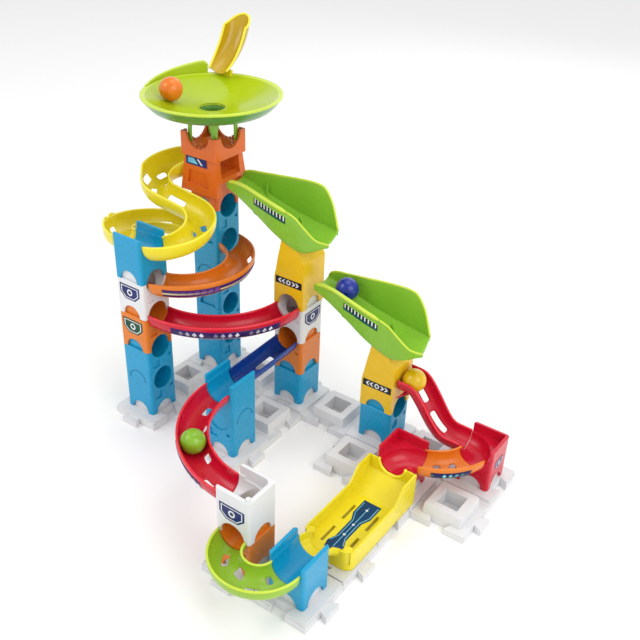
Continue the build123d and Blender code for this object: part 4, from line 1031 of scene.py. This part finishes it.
# teeth along the crown's four cradles
crown_half = (node_box("crown")[1].x - node_box("crown")[0].x) / 2
cradle_z, cradle_r = node_box("crown")[1].z + 1, 15.5
TOOTH_FACES = ((0, 1, 2, 3), (7, 6, 5, 4), (0, 4, 5, 1), (1, 5, 6, 2), (2, 6, 7, 3),
               (3, 7, 4, 0))
for side in range(4):
    turn = side * pi / 2
    out = Vector((cos(turn), sin(turn), 0))
    along = Vector((-sin(turn), cos(turn), 0))
    points, faces = [], []
    for k in range(5):
        a = radians(-128 + 19 * k)
        foot = Vector((*BOWL, cradle_z)) + out * (crown_half - 2.1)
        radial = along * cos(a) + Vector((0, 0, sin(a)))
        tangent = along * -sin(a) + Vector((0, 0, cos(a)))
        base = len(points)
        for depth in (0, -2.6):
            for across, inward in ((-1.1, 1.2), (1.1, 1.2), (0.6, -1.7), (-0.6, -1.7)):
                points.append(foot + out * depth + radial * (cradle_r + inward) + tangent * across)
        faces += [tuple(base + v for v in quad) for quad in TOOTH_FACES]
    finish_piece(mesh_object("crown_teeth_%d" % (side + 1), points, faces, BURNT, smooth=False))

lane_x, lane_y = place(5, 0)
# the lane's end panel, cut out around the corner block's channel, with a rolled collar
COLLAR_STEPS, PANEL_HALF, PANEL_DROP = 24, 24.8, 20.0
panel_y, collar_z, collar_r = lane_y + 36.6, PLATE + 37.0, 14.6
collar_rows, collar = [], []
for k in range(COLLAR_STEPS + 1):
    a = pi + pi * k / COLLAR_STEPS
    c, d = cos(a), sin(a)
    far = min(PANEL_HALF / max(abs(c), 1e-6), PANEL_DROP / max(abs(d), 1e-6))
    row = [Vector((lane_x + r * c, panel_y, collar_z + r * d)) for r in
           (collar_r, collar_r + (far - collar_r) * 0.5, far)]
    collar_rows.append(row)
    collar.append(row[0] - Vector((0, 0.4, 0)))
finish_piece(shell("lane_end_panel", collar_rows, YELLOW, 1.6, levels=1))
# the collar is in the paler yellow, a painted highlight
finish_piece(tube("lane_end_collar", collar, 1.5, YELLOW_PAINTED_HIGHLIGHT, 12))
lane_floor = Face((lane_x, lane_y - 35, PLATE + 7), (1, 0, 0), (0, 1, 0))
film = [(-7, -30), (7, -30), (8.8, -22), (5.6, -14), (5.6, 12), (9.4, 21), (9.4, 41),
        (-9.4, 41), (-9.4, 21), (-5.6, 12), (-5.6, -14), (-8.8, -22)]
finish_piece(plate_shape("lane_film", lane_floor, film, FILM_BLUE, 0.05, 0.22))
# pale traces on the film, each from x0, y0 to x1, y1
TRACE_HALF = 0.35
TRACES = ((-7.2, -21, -3.6, -12), (-3.6, -12, -3.6, 12), (-3.6, 12, -7.6, 22),
          (7.2, -21, 3.6, -12), (3.6, -12, 3.6, 12), (3.6, 12, 7.6, 22),
          (-7.6, 22, -7.6, 38), (7.6, 22, 7.6, 38), (0, -26, 0, 34))
for k, (x0, y0, x1, y1) in enumerate(TRACES):
    way = Vector((x1 - x0, y1 - y0, 0)).normalized()
    nx, ny = -way.y * TRACE_HALF, way.x * TRACE_HALF
    outline = [(x0 - nx, y0 - ny), (x1 - nx, y1 - ny), (x1 + nx, y1 + ny), (x0 + nx, y0 + ny)]
    finish_piece(plate_shape("lane_trace_%d" % k, lane_floor, outline, FILM_CYAN, 0.22, 0.34))
for k, y in enumerate((-8, 7, 30)):
    dot = ring_shape("lane_dot_%d" % k, lane_floor, (0, y), 1.3, 0.5, FILM_WHITE,
                     0.3, 0.42, 20)
    finish_piece(dot)


# ---------------------------------------------------------------- floor, light, camera
def floor_material():
    """A pale matt floor with faint drifts of tone."""
    material, nodes, links, shader = new_nodes("pale_floor")
    drift = noise(nodes, links, 3)
    links.new(two_tone(nodes, links, drift.outputs["Fac"], (0, 1),
                       ((0.92, 0.92, 0.922, 1), (0.95, 0.95, 0.95, 1))),
              shader.inputs["Base Color"])
    shader.inputs["Roughness"].default_value = 0.55
    return material


FLOOR_REACH = 6000
floor = mesh_object("floor", [(sx * FLOOR_REACH, sy * FLOOR_REACH, -0.05) for sx, sy in
                              ((-1, -1), (1, -1), (1, 1), (-1, 1))],
                    [(0, 1, 2, 3)], floor_material(), smooth=False)


def area_light(name, at, target, size, power, colour=(1, 1, 1)):
    """A square soft box aimed at a point."""
    data = bpy.data.lights.new(name, "AREA")
    data.size = size
    data.energy = power
    data.color = colour
    obj = bpy.data.objects.new(name, data)
    bpy.context.scene.collection.objects.link(obj)
    obj.location = at
    obj.rotation_euler = (Vector(target) - Vector(at)).to_track_quat("-Z", "Y").to_euler()


# places, targets and sizes in metres, power in watts
area_light("key_light", (-0.9, -1.1, 1.5), (0, 0, 0.15), 0.9, 8)
area_light("fill_light", (1.3, -0.3, 1.0), (0, 0, 0.15), 1.1, 9, (1, 0.98, 0.94))
area_light("top_light", (0.1, 0.4, 1.8), (0, 0, 0.1), 1.0, 5)
area_light("back_light", (-0.2, 1.5, 1.0), (0, 0, 0.2), 1.0, 3)
world = bpy.data.worlds.new("studio")
world.use_nodes = True
background = world.node_tree.nodes["Background"]
background.inputs["Color"].default_value = (1, 1, 1, 1)
background.inputs["Strength"].default_value = 0.86
bpy.context.scene.world = world
bpy.context.scene.view_settings.view_transform = "Standard"

# fitted to the photograph's view; the place is in levels from the drop tower's foot
camera = bpy.data.cameras.new("camera")
camera.lens = 48.06
camera.sensor_width = 36
camera.shift_x = 0.0421
camera.shift_y = 0.0335
eye = bpy.data.objects.new("camera", camera)
bpy.context.scene.collection.objects.link(eye)
eye.location = Vector((DROP.x + 14.2158 * LEVEL, DROP.y - 13.0436 * LEVEL, up(14.3881))) * MM
eye.rotation_euler = (radians(56.954), radians(-1.138), radians(36.727))
bpy.context.scene.camera = eye
